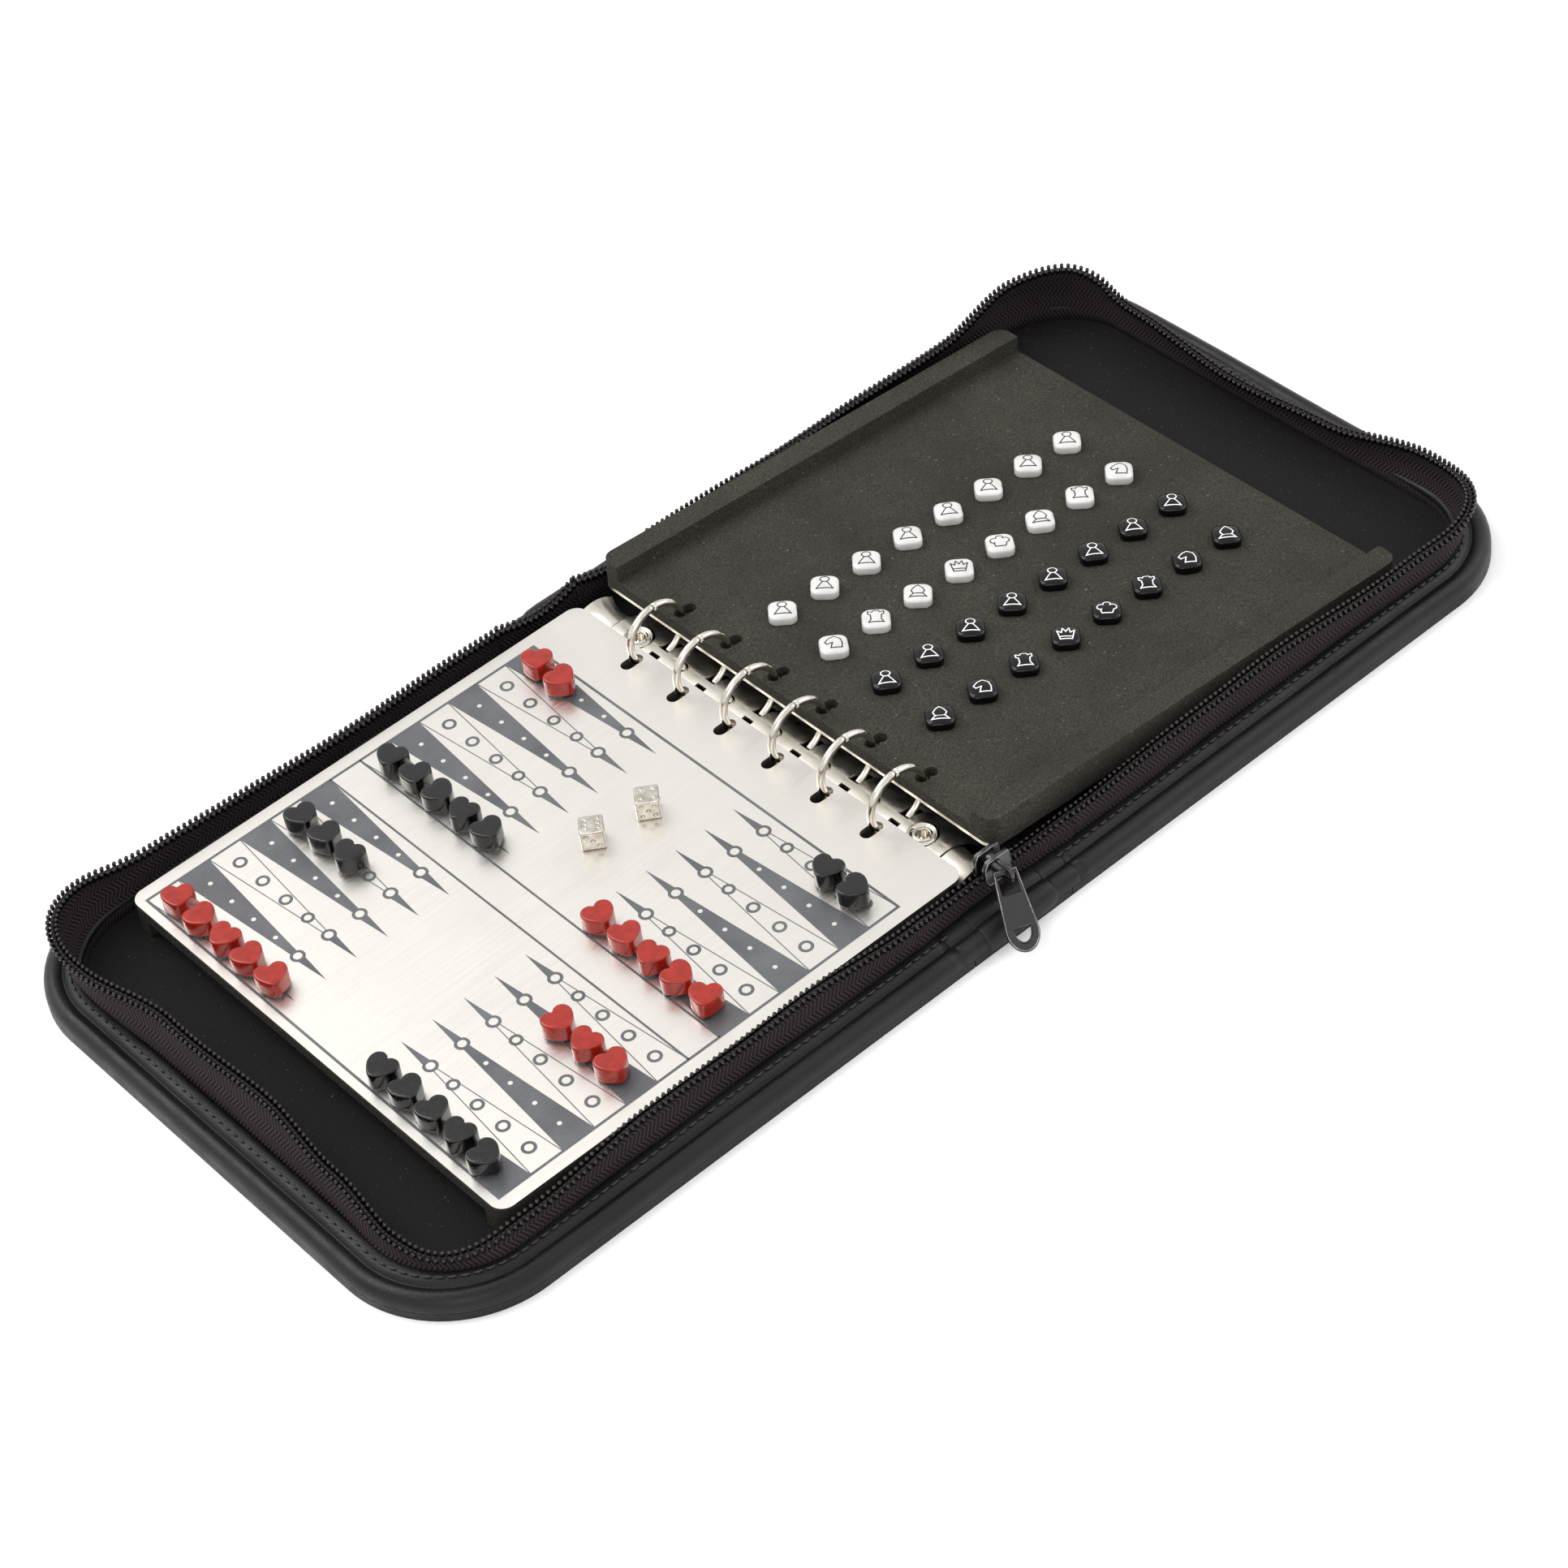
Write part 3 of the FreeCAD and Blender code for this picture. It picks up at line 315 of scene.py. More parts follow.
def worn_zinc():
    # painted highlight: bright zinc-coloured metal laid as thin lines along the enamel's edges, where a glint
    # would show
    material, tree, shader = finish("worn_zinc", "8F8C86", Metallic=1.0, Roughness=0.3)
    colour_layers(tree, shader, "6E6B66", [(clouds(tree, 1.2 * MM, detail=3.0), "B5B1AA")])
    return material


def studio_paper():
    # seamless background paper, lit until it is almost white
    material, tree, shader = finish("studio_paper", "FFFFFF", Roughness=0.9)
    colour_layers(tree, shader, "FCFCFC", [(clouds(tree, 0.2), "FFFFFF")])
    return material


FINISHES = {
    "leathercloth": calendered_leathercloth(), "nylon_lining": woven_nylon(), "zip_tape": herringbone_tape(),
    "zip_teeth": drawn_nylon_coil(), "zip_metal": black_enamel_zinc(), "nickel": bright_nickel(),
    "steel": brushed_steel(), "foam": closed_cell_foam(),
    "red_enamel": poured_enamel("red_enamel", "8E1A0E", "A02212", 0.45),
    "black_enamel": poured_enamel("black_enamel", "050505", "0A0A0A", 0.45),
    "magnet": bonded_magnet(), "white_tile": white_urea(), "black_tile": black_urea(),
    "die_metal": cast_pewter(),
}
INK = screen_ink()
HAZED_NICKEL = hazed_nickel()
THREAD = bonded_thread()
EDGE_GLINT = worn_zinc()


# ---------------------------------------------------------------- mesh helpers


def mesh_object(name, points, faces, material, strip=None):
    """A mesh piece; strip gives each vertex its place on the cloth in metres."""
    mesh = bpy.data.meshes.new(name)
    mesh.from_pydata([tuple(p) for p in points], [], faces)
    if strip:
        layer = mesh.uv_layers.new(name="strip")
        for loop in mesh.loops:
            layer.data[loop.index].uv = strip[loop.vertex_index]
    mesh.materials.append(material)
    mesh.polygons.foreach_set("use_smooth", [True] * len(mesh.polygons))
    piece = bpy.data.objects.new(name, mesh)
    bpy.context.scene.collection.objects.link(piece)
    return piece


def bake(piece, name):
    """Turn a piece with modifiers, or a curve, into a plain mesh piece of the same name."""
    bpy.context.view_layer.update()
    graph = bpy.context.evaluated_depsgraph_get()
    mesh = bpy.data.meshes.new_from_object(piece.evaluated_get(graph), depsgraph=graph)
    bpy.data.objects.remove(piece)
    mesh.name = name
    made = bpy.data.objects.new(name, mesh)
    bpy.context.scene.collection.objects.link(made)
    return made


def outward(piece):
    """Merge doubles and turn every face outward."""
    work = bmesh.new()
    work.from_mesh(piece.data)
    bmesh.ops.remove_doubles(work, verts=work.verts, dist=0.002 * MM)
    bmesh.ops.recalc_face_normals(work, faces=work.faces)
    work.to_mesh(piece.data)
    work.free()
    return piece


def sheet_between(name, rows, material, closed=False, capped=False):
    """Loft rows of points into a sheet, or a tube if the rows are closed rings."""
    width = len(rows[0])
    points = [p for row in rows for p in row]
    faces = []
    for i in range(len(rows) - 1):
        for j in range(width if closed else width - 1):
            k = (j + 1) % width
            faces.append((i * width + j, i * width + k, (i + 1) * width + k, (i + 1) * width + j))
    if capped:
        last = (len(rows) - 1) * width
        faces += [tuple(range(width))[::-1], tuple(range(last, last + width))]
    strip = []
    run = [0.0]
    middle = width // 2
    for before, after in zip(rows, rows[1:]):
        run.append(run[-1] + (Vector(after[middle]) - Vector(before[middle])).length)
    for along, row in zip(run, rows):
        across = 0.0
        for j, p in enumerate(row):
            across += (Vector(p) - Vector(row[j - 1])).length if j else 0.0
            strip.append((along, across))
    return mesh_object(name, points, faces, material, strip)


def smooth_keys(keys, t):
    """Smooth value of listed keys [(place, value, value...)] at t."""
    if t <= keys[0][0]:
        return keys[0][1:]
    for before, after in zip(keys, keys[1:]):
        if t <= after[0]:
            share = (t - before[0]) / (after[0] - before[0])
            share = share * share * (3 - 2 * share)
            return tuple(a + (b - a) * share for a, b in zip(before[1:], after[1:]))
    return keys[-1][1:]


# ---------------------------------------------------------------- the cover's edge

HALF_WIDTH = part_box("right_shell")[1].y
LENGTHS = {"left": -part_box("left_shell")[0].x, "right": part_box("right_shell")[1].x}
FLOOR_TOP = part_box("right_lining")[1].z
CORNER = 34 * MM  # radius of the cover's outer corners, as the shell has it
RIM_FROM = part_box("right_rim")[0].x
WALL_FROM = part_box("right_zip_tape")[0].x


def edge_length(length, begin):
    straight = length - CORNER - begin
    return 2 * straight + math.pi * CORNER + 2 * (HALF_WIDTH - CORNER)


def edge_frame(length, begin, share):
    """Place and outward direction on a cover's edge, mirrored to +X; share runs from far to near."""
    straight = length - CORNER - begin
    bend = math.pi / 2 * CORNER
    side = 2 * (HALF_WIDTH - CORNER)
    run = share * edge_length(length, begin)
    if run <= straight:
        return Vector((begin + run, HALF_WIDTH, 0)), Vector((0, 1, 0))
    run -= straight
    if run <= bend:
        turn = run / CORNER
        out = Vector((math.sin(turn), math.cos(turn), 0))
        return Vector((length - CORNER, HALF_WIDTH - CORNER, 0)) + out * CORNER, out
    run -= bend
    if run <= side:
        return Vector((length, HALF_WIDTH - CORNER - run, 0)), Vector((1, 0, 0))
    run -= side
    if run <= bend:
        turn = run / CORNER
        out = Vector((math.cos(turn), -math.sin(turn), 0))
        return Vector((length - CORNER, CORNER - HALF_WIDTH, 0)) + out * CORNER, out
    run -= bend
    return Vector((length - CORNER - run, -HALF_WIDTH, 0)), Vector((0, -1, 0))


def on_cover(side, begin, share, inset, rise):
    """A point inset from the cover's edge, at a height."""
    spot, out = edge_frame(LENGTHS[side], begin, share)
    spot = spot - out * inset
    return Vector((COVERS[side] * spot.x, spot.y, rise))


# the rim's section: (inset from the edge, height) in millimetres, from the outer foot over the roll,
# down into the crease and up over the stitched band to its inner edge
RIM_SECTION = [
    (1.2, 0.3), (0.3, 1.4), (0.0, 3.0), (0.35, 4.9), (1.5, 6.3), (3.1, 6.9), (4.6, 6.4), (5.3, 5.75),
    (5.9, 6.3), (6.9, 7.0), (8.6, 7.3), (10.0, 7.1), (10.6, 6.2), (10.5, 4.4), (9.8, 3.3), (7.0, 2.5),
    (3.5, 1.4),
]


def rounded_loop(corners, count):
    """Points of a smooth closed curve through the corners."""
    total = len(corners)
    loop = []
    for i in range(count):
        place = i * total / count
        k, t = int(place), place % 1.0
        a, b, c, e = (Vector(corners[(k + j) % total]) for j in (-1, 0, 1, 2))
        loop.append(0.5 * (2 * b + (c - a) * t + (2 * a - 5 * b + 4 * c - e) * t ** 2
                           + (3 * b - a - 3 * c + e) * t ** 3))
    return loop


RIM_LOOP = rounded_loop(RIM_SECTION, 46)


def swell_at(side, share):
    """The padding isn't quite even along the rim."""
    return 0.22 * math.sin(17 * share + COVERS[side]) + 0.14 * math.sin(41 * share + 2 * COVERS[side])


def padded_rise(rise, swell):
    """Height in metres of a point of the section, which swells more the higher it lies."""
    return (rise + swell * max(0.0, rise - 3.0) / 4.0) * MM


def rim_roll(side):
    count = 150
    rings = []
    for i in range(count + 1):
        share = i / count
        swell = swell_at(side, share)
        rings.append([on_cover(side, RIM_FROM, share, p.x * MM, padded_rise(p.y, swell)) for p in RIM_LOOP])
    roll = sheet_between(side + "_rim_roll", rings, FINISHES["leathercloth"], closed=True, capped=True)
    outward(roll)
    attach(roll, side + "_cover")
    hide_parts(side + "_rim")


# ---------------------------------------------------------------- zip walls

# the top of the zip wall along the edge: (share of the edge, inset, height) in millimetres.
# Soft tape stands high at the corners that keep their shape and sinks where it has been pressed
WALL_TOPS = {
    "left": [
        (0.00, 10.5, 16.0), (0.12, 11.0, 16.0), (0.24, 9.5, 17.5), (0.32, 5.5, 21.0), (0.38, 8.5, 20.0),
        (0.44, 14.0, 19.0), (0.52, 15.5, 18.0), (0.58, 14.0, 15.5), (0.63, 12.0, 12.5), (0.68, 10.5, 11.5),
        (0.74, 10.5, 14.0), (0.82, 12.0, 16.5), (0.92, 12.5, 16.0), (1.00, 10.5, 16.0),
    ],
    "right": [
        (0.00, 10.5, 16.0), (0.10, 12.0, 16.0), (0.22, 13.0, 17.0), (0.28, 10.5, 20.5), (0.33, 9.5, 21.0),
        (0.40, 13.0, 17.0), (0.48, 15.5, 14.5), (0.55, 13.5, 15.0), (0.62, 8.0, 18.5), (0.68, 6.0, 20.0),
        (0.75, 8.5, 18.0), (0.86, 11.5, 17.0), (1.00, 10.5, 16.0),
    ],
}
WALL_FOOT = 11.0  # mm from the edge, just inside the rim
WALL_ROWS = 7
WALL_BELLY = 1.3  # mm, how far the cloth bellies outward at half its height
TEETH_ROOM = 0.6  # mm, the cloth's edge, which the teeth follow, lies this far below WALL_TOPS
TAPE_THICK = 0.7 * MM


def wall_column(side, begin, share, top_inset, top_rise):
    """Points up the wall: it bellies outward a little between its foot and the teeth."""
    column = []
    for j in range(WALL_ROWS):
        up = j / (WALL_ROWS - 1)
        belly = WALL_BELLY * math.sin(math.pi * up) + 0.25 * math.sin(60 * share + 5 * up)
        inset = WALL_FOOT + (top_inset - WALL_FOOT) * up - belly * min(1.0, up * 3)
        rise = FLOOR_TOP / MM + (top_rise - TEETH_ROOM - FLOOR_TOP / MM) * up
        column.append(on_cover(side, begin, share, inset * MM, rise * MM))
    return column


def thicken(piece, thickness):
    solid = piece.modifiers.new("cloth", "SOLIDIFY")
    solid.thickness = thickness
    solid.offset = 0.0
    return bake(piece, piece.name)


def zip_wall(side):
    count = 260
    shares = [i / count for i in range(count + 1)]
    columns = [wall_column(side, WALL_FROM, t, *smooth_keys(WALL_TOPS[side], t)) for t in shares]
    wall = thicken(sheet_between(side + "_tape_wall", columns, FINISHES["zip_tape"]), TAPE_THICK)
    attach(wall, side + "_cover")
    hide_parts(side + "_zip_tape")
    return [column[-1] for column in columns]


# ---------------------------------------------------------------- repeated pieces along a path


def socket_id(tree, name):
    return next(item.identifier for item in tree.interface.items_tree if item.name == name)


def along_path_tree():
    """Geometry nodes: put copies of a piece along a curve, one every Pitch, with Material."""
    tree = bpy.data.node_groups.new("pieces_along_path", "GeometryNodeTree")
    for name, kind in (("Path", "NodeSocketGeometry"), ("Pitch", "NodeSocketFloat"),
                       ("Piece", "NodeSocketObject"), ("Material", "NodeSocketMaterial")):
        tree.interface.new_socket(name, in_out="INPUT", socket_type=kind)
    tree.interface.new_socket("Pieces", in_out="OUTPUT", socket_type="NodeSocketGeometry")
    source = node(tree, "NodeGroupInput").outputs
    upright = node(tree, "GeometryNodeSetCurveNormal", {"Curve": source["Path"]}, mode="Z_UP")
    spots = node(tree, "GeometryNodeCurveToPoints", {
        "Curve": upright.outputs[0], "Length": source["Pitch"],
    }, mode="LENGTH")
    piece = node(tree, "GeometryNodeObjectInfo", {"Object": source["Piece"]})
    copies = node(tree, "GeometryNodeInstanceOnPoints", {
        "Points": spots.outputs["Points"], "Instance": piece.outputs["Geometry"],
        "Rotation": spots.outputs["Rotation"],
    })
    real = node(tree, "GeometryNodeRealizeInstances", {"Geometry": copies.outputs[0]})
    painted = node(tree, "GeometryNodeSetMaterial", {
        "Geometry": real.outputs[0], "Material": source["Material"],
    })
    node(tree, "NodeGroupOutput", {"Pieces": painted.outputs[0]})
    return tree


ALONG_PATH = along_path_tree()


def pieces_along(name, path, pitch, piece, material):
    """Copies of a piece along a path of points, as one plain mesh."""
    curve = bpy.data.curves.new(name + "_path", "CURVE")
    curve.dimensions = "3D"
    spline = curve.splines.new("POLY")
    spline.points.add(len(path) - 1)
    for spot, p in zip(spline.points, path):
        spot.co = (*p, 1.0)
    holder = bpy.data.objects.new(name, curve)
    bpy.context.scene.collection.objects.link(holder)
    modifier = holder.modifiers.new("pieces", "NODES")
    modifier.node_group = ALONG_PATH
    modifier[socket_id(ALONG_PATH, "Pitch")] = pitch
    modifier[socket_id(ALONG_PATH, "Piece")] = piece
    modifier[socket_id(ALONG_PATH, "Material")] = material
    return bake(holder, name)


def half_loop(name, radius, wire, sides=5, steps=7):
    """One loop of the coil, over the tape's edge; local z runs along the zip."""
    rings = []
    for i in range(steps + 1):
        turn = math.radians(-30) + math.radians(240) * i / steps
        middle = Vector((radius * math.cos(turn), radius * math.sin(turn), 0))
        out = middle.normalized()
        # the loop leans along the zip as it goes round, like a spring
        slant = Vector((0, 0, 0.35 * MM * math.cos(turn)))
        rings.append([
            middle + slant + out * wire * math.cos(math.tau * k / sides)
            + Vector((0, 0, wire * math.sin(math.tau * k / sides)))
            for k in range(sides)
        ])
    return outward(sheet_between(name, rings, FINISHES["zip_teeth"], closed=True, capped=True))


def stitch(name):
    """One stitch: a short thread that dives in at both ends; local z runs along the seam."""
    rings = []
    steps, sides = 6, 6
    for i in range(steps + 1):
        share = i / steps
        girth = 0.38 * MM * (0.35 + 0.65 * math.sin(math.pi * share))
        sink = -0.3 * MM * (2 * share - 1) ** 2
        middle = Vector((0, sink, (share - 0.5) * 2.3 * MM))
        rings.append([
            middle + Vector((
                girth * math.cos(math.tau * k / sides), girth * math.sin(math.tau * k / sides), 0,
            ))
            for k in range(sides)
        ])
    return outward(sheet_between(name, rings, THREAD, closed=True, capped=True))


TOOTH = half_loop("tooth", 1.12 * MM, 0.6 * MM)
STITCH = stitch("one_stitch")
TOOTH_PITCH = 1.8 * MM
SEAM_INSET, SEAM_RISE = 7.4, 7.4  # mm
STITCH_PITCH = 3.1 * MM


def teeth(side, top):
    coil = pieces_along(side + "_teeth", top, TOOTH_PITCH, TOOTH, FINISHES["zip_teeth"])
    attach(coil, side + "_cover")
    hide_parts(side + "_zip_coil")


def rim_seam(side):
    count = 240
    path = []
    for i in range(count + 1):
        share = i / count
        rise = padded_rise(SEAM_RISE, swell_at(side, share))
        path.append(on_cover(side, RIM_FROM, share, SEAM_INSET * MM, rise))
    seam = pieces_along(side + "_rim_seam", path, STITCH_PITCH, STITCH, THREAD)
    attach(seam, side + "_cover")


# ---------------------------------------------------------------- skin over the hinges

PATCH_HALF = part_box("near_patch")[1].x
GUSSET_BEND = (6 * MM, 24 * MM)  # from the spine's middle: where a gusset would start and end bending; bend() leaves it straight
STRIP_BEND = (15 * MM, 19 * MM)  # the same for the lining over the hinge


def bend(piece, side, sign, inner, outer):
    """Bake a piece's placement into its mesh; the piece is not bent."""
    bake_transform(piece)


def rim_bridge(side, sign, end, way):
    """The rim goes on over the hinge, as a half that ends under the patch."""
    count = 20
    rings = []
    for i in range(count + 1):
        x = RIM_FROM * i / count
        swell = swell_at(side, 0.0 if end == "far" else 1.0) * i / count
        rings.append([
            Vector((sign * x, way * (HALF_WIDTH - p.x * MM), padded_rise(p.y, swell))) for p in RIM_LOOP
        ])
    name = f"{side}_{end}_rim_bridge"
    bridge = sheet_between(name, rings, FINISHES["leathercloth"], closed=True, capped=True)
    outward(bridge)
    bend(bridge, side, sign, PATCH_HALF, RIM_FROM)


PATCH_LIFT = 0.55  # mm, thickness of the cloth with its turned edge


def patch(end, way):
    """A strip of leathercloth sewn round the rim at the spine; its edges are rounded over."""
    count = 24
    centre = Vector((5.0, 4.4))
    rings = []
    for i in range(count + 1):
        x = PATCH_HALF * (2 * i / count - 1)
        turned = min(1.0, 6 * min(i, count - i) / count)
        lift = PATCH_LIFT * (0.25 + 0.75 * math.sqrt(turned))
        ring = []
        for p in RIM_LOOP:
            raised = p + (p - centre).normalized() * lift
            ring.append(Vector((x, way * (HALF_WIDTH - raised.x * MM), max(raised.y, 0.1) * MM)))
        rings.append(ring)
    cover = sheet_between(end + "_spine_patch", rings, FINISHES["leathercloth"], closed=True, capped=True)
    outward(cover)
    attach(cover, "spine")
    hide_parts(end + "_patch")


def gusset(side, sign, end, way):
    """The zip wall between a cover and the spine's end, with its teeth."""
    share = 0.0 if end == "far" else 1.0
    inset, rise = smooth_keys(WALL_TOPS[side], share)
    count = 24
    columns = []
    for i in range(count + 1):
        part = i / count
        x = WALL_FROM * (1 - part) + 0.2 * MM * part
        drop = 1.8 * math.sin(math.pi * part)
        column = []
        for j in range(WALL_ROWS):
            up = j / (WALL_ROWS - 1)
            belly = WALL_BELLY * math.sin(math.pi * up) * (1 - part)
            off = WALL_FOOT + (inset - WALL_FOOT) * up - belly + 1.2 * math.sin(math.pi * part) * up
            height = FLOOR_TOP / MM + (rise - TEETH_ROOM - drop - FLOOR_TOP / MM) * up
            column.append(Vector((sign * x, way * (HALF_WIDTH - off * MM), height * MM)))
        columns.append(column)
    cloth = thicken(sheet_between(f"{side}_{end}_gusset", columns, FINISHES["zip_tape"]), TAPE_THICK)
    bend(cloth, side, sign, *GUSSET_BEND)
    if side == "left":
        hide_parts(end + "_zip_end")
    top = [column[-1] for column in columns]
    coil = pieces_along(f"{side}_{end}_gusset_teeth", top, TOOTH_PITCH, TOOTH, FINISHES["zip_teeth"])
    bend(coil, side, sign, *GUSSET_BEND)


def hinge_strip(side, sign):
    """Lining cloth over the hinge, so that no gap shows between spine and cover."""
    inner, outer = 13 * MM, 21 * MM
    steps, length_steps = 8, 24
    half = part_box("spine_lining")[1].y
    rows = []
    for i in range(steps + 1):
        x = inner + (outer - inner) * i / steps
        rise = FLOOR_TOP + 0.06 * MM + 0.25 * MM * math.sin(math.pi * i / steps)
        rows.append([
            Vector((sign * x, half * (2 * j / length_steps - 1), rise)) for j in range(length_steps + 1)
        ])
    strip = thicken(sheet_between(side + "_hinge_strip", rows, FINISHES["nylon_lining"]), 0.1 * MM)
    bend(strip, side, sign, *STRIP_BEND)


# ---------------------------------------------------------------- print and symbols


def finely(points, closed):
    """The same run of points with more between them, so that a line can follow a domed top."""
    spots = [Vector(p) for p in points]
    ends = spots[1:] + spots[:1] if closed else spots[1:]
    run = []
    for before, after in zip(spots, ends):
        steps = max(1, round((after - before).length / 0.4))
        run += [before.lerp(after, i / steps) for i in range(steps)]
    return run if closed else run + [spots[-1]]


class Drawing:
    """Flat shapes and lines in millimetres, gathered into one thin printed piece."""

    def __init__(self, height, fine=False):
        self.points, self.faces = [], []
        self.height = height
        self.fine = fine

    def add(self, points, faces, level=0.0):
        start = len(self.points)
        self.points += [self.height(Vector(p), level) for p in points]
        self.faces += [tuple(start + i for i in face) for face in faces]

    def line(self, points, width, level=0.0, closed=False):
        """A ribbon through points, mitred at its corners."""
        spots = finely(points, closed) if self.fine else [Vector(p) for p in points]
        count = len(spots)
        left, right = [], []
        for i, spot in enumerate(spots):
            before = spots[i - 1] if closed or i else spot
            after = spots[(i + 1) % count] if closed or i < count - 1 else spot
            first = (spot - before).normalized() if (spot - before).length else (after - spot).normalized()
            second = (after - spot).normalized() if (after - spot).length else first
            along = (first + second).normalized() if (first + second).length > 0.1 else second
            across = Vector((-along.y, along.x))
            reach = width / 2 / max(0.45, across.dot(Vector((-first.y, first.x))))
            left.append(spot + across * reach)
            right.append(spot - across * reach)
        faces = [(i, i + 1, count + i + 1, count + i) for i in range(count - 1)]
        if closed:
            faces.append((count - 1, 0, count, 2 * count - 1))
        self.add(left + right, faces, level)

    def arc(self, centre, radius, width, start=0.0, sweep=math.tau, level=0.0, steps=24):
        closed = sweep >= math.tau
        count = steps if closed else steps + 1
        spots = [
            (centre[0] + radius * math.cos(start + sweep * i / steps),
             centre[1] + radius * math.sin(start + sweep * i / steps))
            for i in range(count)
        ]
        self.line(spots, width, level, closed)

    def piece(self, name, material):
        made = mesh_object(name, self.points, self.faces, material)
        work = bmesh.new()
        work.from_mesh(made.data)
        for face in work.faces:
            face.normal_update()
            if face.normal.z < 0:
                face.normal_flip()
        work.to_mesh(made.data)
        work.free()
        return made


plate_low, plate_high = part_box("left_plate")
BOARD_HALF = 72.9  # mm, half the printed frame's length along Y
BOARD_LEFT = plate_low.x / MM + 2.8
POINT = 10.0
POINT_COLUMNS = 12
BAR = 1.0 * POINT
BOARD_RIGHT = BOARD_LEFT + POINT_COLUMNS * POINT + BAR
TIP = 57.6  # mm from the frame to the very tip of a point
INK_LIFT, INK_LAYER = 0.015, 0.006  # mm, the lowest ink above the plate, and each ink above the last


def on_plate(p, level):
    return Vector((p.x * MM, p.y * MM, plate_high.z + (INK_LIFT + INK_LAYER * level) * MM))


def disc(drawing, centre, radius, level):
    count = 20
    spots = [(centre[0] + radius * math.cos(math.tau * i / count),
              centre[1] + radius * math.sin(math.tau * i / count)) for i in range(count)]
    drawing.add(spots, [tuple(range(count))], level)


def board_point(ink, bare, column, way, filled):
    """One of the 24 points: filled with four bare dots, or outlined with rings along it."""
    low = BOARD_LEFT + column * POINT + (BAR if column > 5 else 0.0)
    middle = low + POINT / 2

    def at(across, along):
        return (middle + across, way * (BOARD_HALF - along))

    ring_place, narrow = 45.5, 0.9
    if filled:
        ink.add([
            at(-POINT / 2, 0.0), at(POINT / 2, 0.0), at(narrow, ring_place - 1), at(-narrow, ring_place - 1),
        ], [(0, 1, 2, 3)], 1)
        for along in (7.5, 17.0, 26.5, 36.0):
            disc(bare, at(0, along), 0.65, 4)
    else:
        for across in (-1, 1):
            ink.line([at(across * POINT / 2, 0.0), at(across * 0.35, ring_place)], 0.28, 0)
        for along, size in ((7.0, 1.6), (17.0, 1.55), (27.0, 1.5), (36.5, 1.45)):
            disc(bare, at(0, along), size + 0.35, 1)
            ink.arc(at(0, along), size, 0.85, level=2)
    # the last ring, near the tip, and the solid spike beyond it
    ink.add([at(-1.25, ring_place + 0.5), at(1.25, ring_place + 0.5), at(0, TIP)], [(0, 1, 2)], 1)
    disc(bare, at(0, ring_place), 1.5, 3)
    ink.arc(at(0, ring_place), 1.65, 0.85, level=4)


def board_print():
    ink, bare = Drawing(on_plate), Drawing(on_plate)
    corners = [(BOARD_LEFT, -BOARD_HALF), (BOARD_RIGHT, -BOARD_HALF), (BOARD_RIGHT, BOARD_HALF),
               (BOARD_LEFT, BOARD_HALF)]
    ink.line(corners, 0.75, 5, closed=True)
    bar_left = BOARD_LEFT + 6 * POINT
    for x in (bar_left, bar_left + BAR):
        ink.line([(x, -BOARD_HALF), (x, BOARD_HALF)], 0.6, 5)
    for column in range(POINT_COLUMNS):
        board_point(ink, bare, column, 1, column % 2 == 1)
        board_point(ink, bare, column, -1, column % 2 == 0)
    for drawing, name, material in ((ink, "board_print", INK), (bare, "bare_spots", FINISHES["steel"])):
        printed = drawing.piece(name, material)
        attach(printed, "left_page")


SYMBOL_LINE = 0.3  # mm
SYMBOL_SIZE = 1.08


def pawn(drawing):
    drawing.arc((0, 1.4), 1.15, SYMBOL_LINE)
    drawing.line([(-0.45, 0.35), (-2.1, -2.0), (2.1, -2.0), (0.45, 0.35)], SYMBOL_LINE)


def rook(drawing):
    drawing.line([(-1.9, -2.0), (-1.3, -1.1), (-1.4, 0.6), (-2.0, 1.1), (-2.0, 2.3), (-1.0, 1.7), (-0.7, 2.4),
                  (0.7, 2.4), (1.0, 1.7), (2.0, 2.3), (2.0, 1.1), (1.4, 0.6), (1.3, -1.1), (1.9, -2.0)],
                 SYMBOL_LINE, closed=True)


def bishop(drawing):
    drawing.line([(-1.2, -1.0), (-1.7, 0.2), (-1.0, 1.4), (0, 2.5), (1.0, 1.4), (1.7, 0.2), (1.2, -1.0)],
                 SYMBOL_LINE, closed=True)
    drawing.line([(-2.2, -2.0), (-1.2, -1.0), (1.2, -1.0), (2.2, -2.0)], SYMBOL_LINE, closed=True)


def knight(drawing):
    drawing.line([(-0.9, -2.0), (-0.3, -0.2), (-1.7, -0.6), (-2.2, 0.3), (-1.0, 1.6), (0.3, 2.3), (1.7, 1.3),
                  (2.1, -0.3), (1.9, -2.0)], SYMBOL_LINE, closed=True)


def lobed_crown(drawing):
    drawing.line([(-1.3, -2.0), (-1.7, -0.6)], SYMBOL_LINE)
    drawing.line([(1.3, -2.0), (1.7, -0.6)], SYMBOL_LINE)
    drawing.line([(-1.3, -2.0), (1.3, -2.0)], SYMBOL_LINE)
    for x, y, start in ((-1.5, 0.3, 70), (0.0, 1.2, -20), (1.5, 0.3, -70)):
        drawing.arc((x, y), 0.95, SYMBOL_LINE, start=math.radians(start), sweep=math.radians(220))


def zigzag_crown(drawing):
    drawing.line([(-1.5, -2.0), (-2.2, 1.2), (-1.1, 0.2), (-0.8, 2.0), (0, 0.5), (0.8, 2.0), (1.1, 0.2),
                  (2.2, 1.2), (1.5, -2.0)], SYMBOL_LINE, closed=True)
    drawing.line([(-1.6, -1.2), (1.6, -1.2)], SYMBOL_LINE)


SYMBOLS = {
    "pawn": pawn, "rook": rook, "bishop": bishop, "knight": knight,
    "queen": zigzag_crown, "king": lobed_crown,
}


# ---------------------------------------------------------------- playing pieces


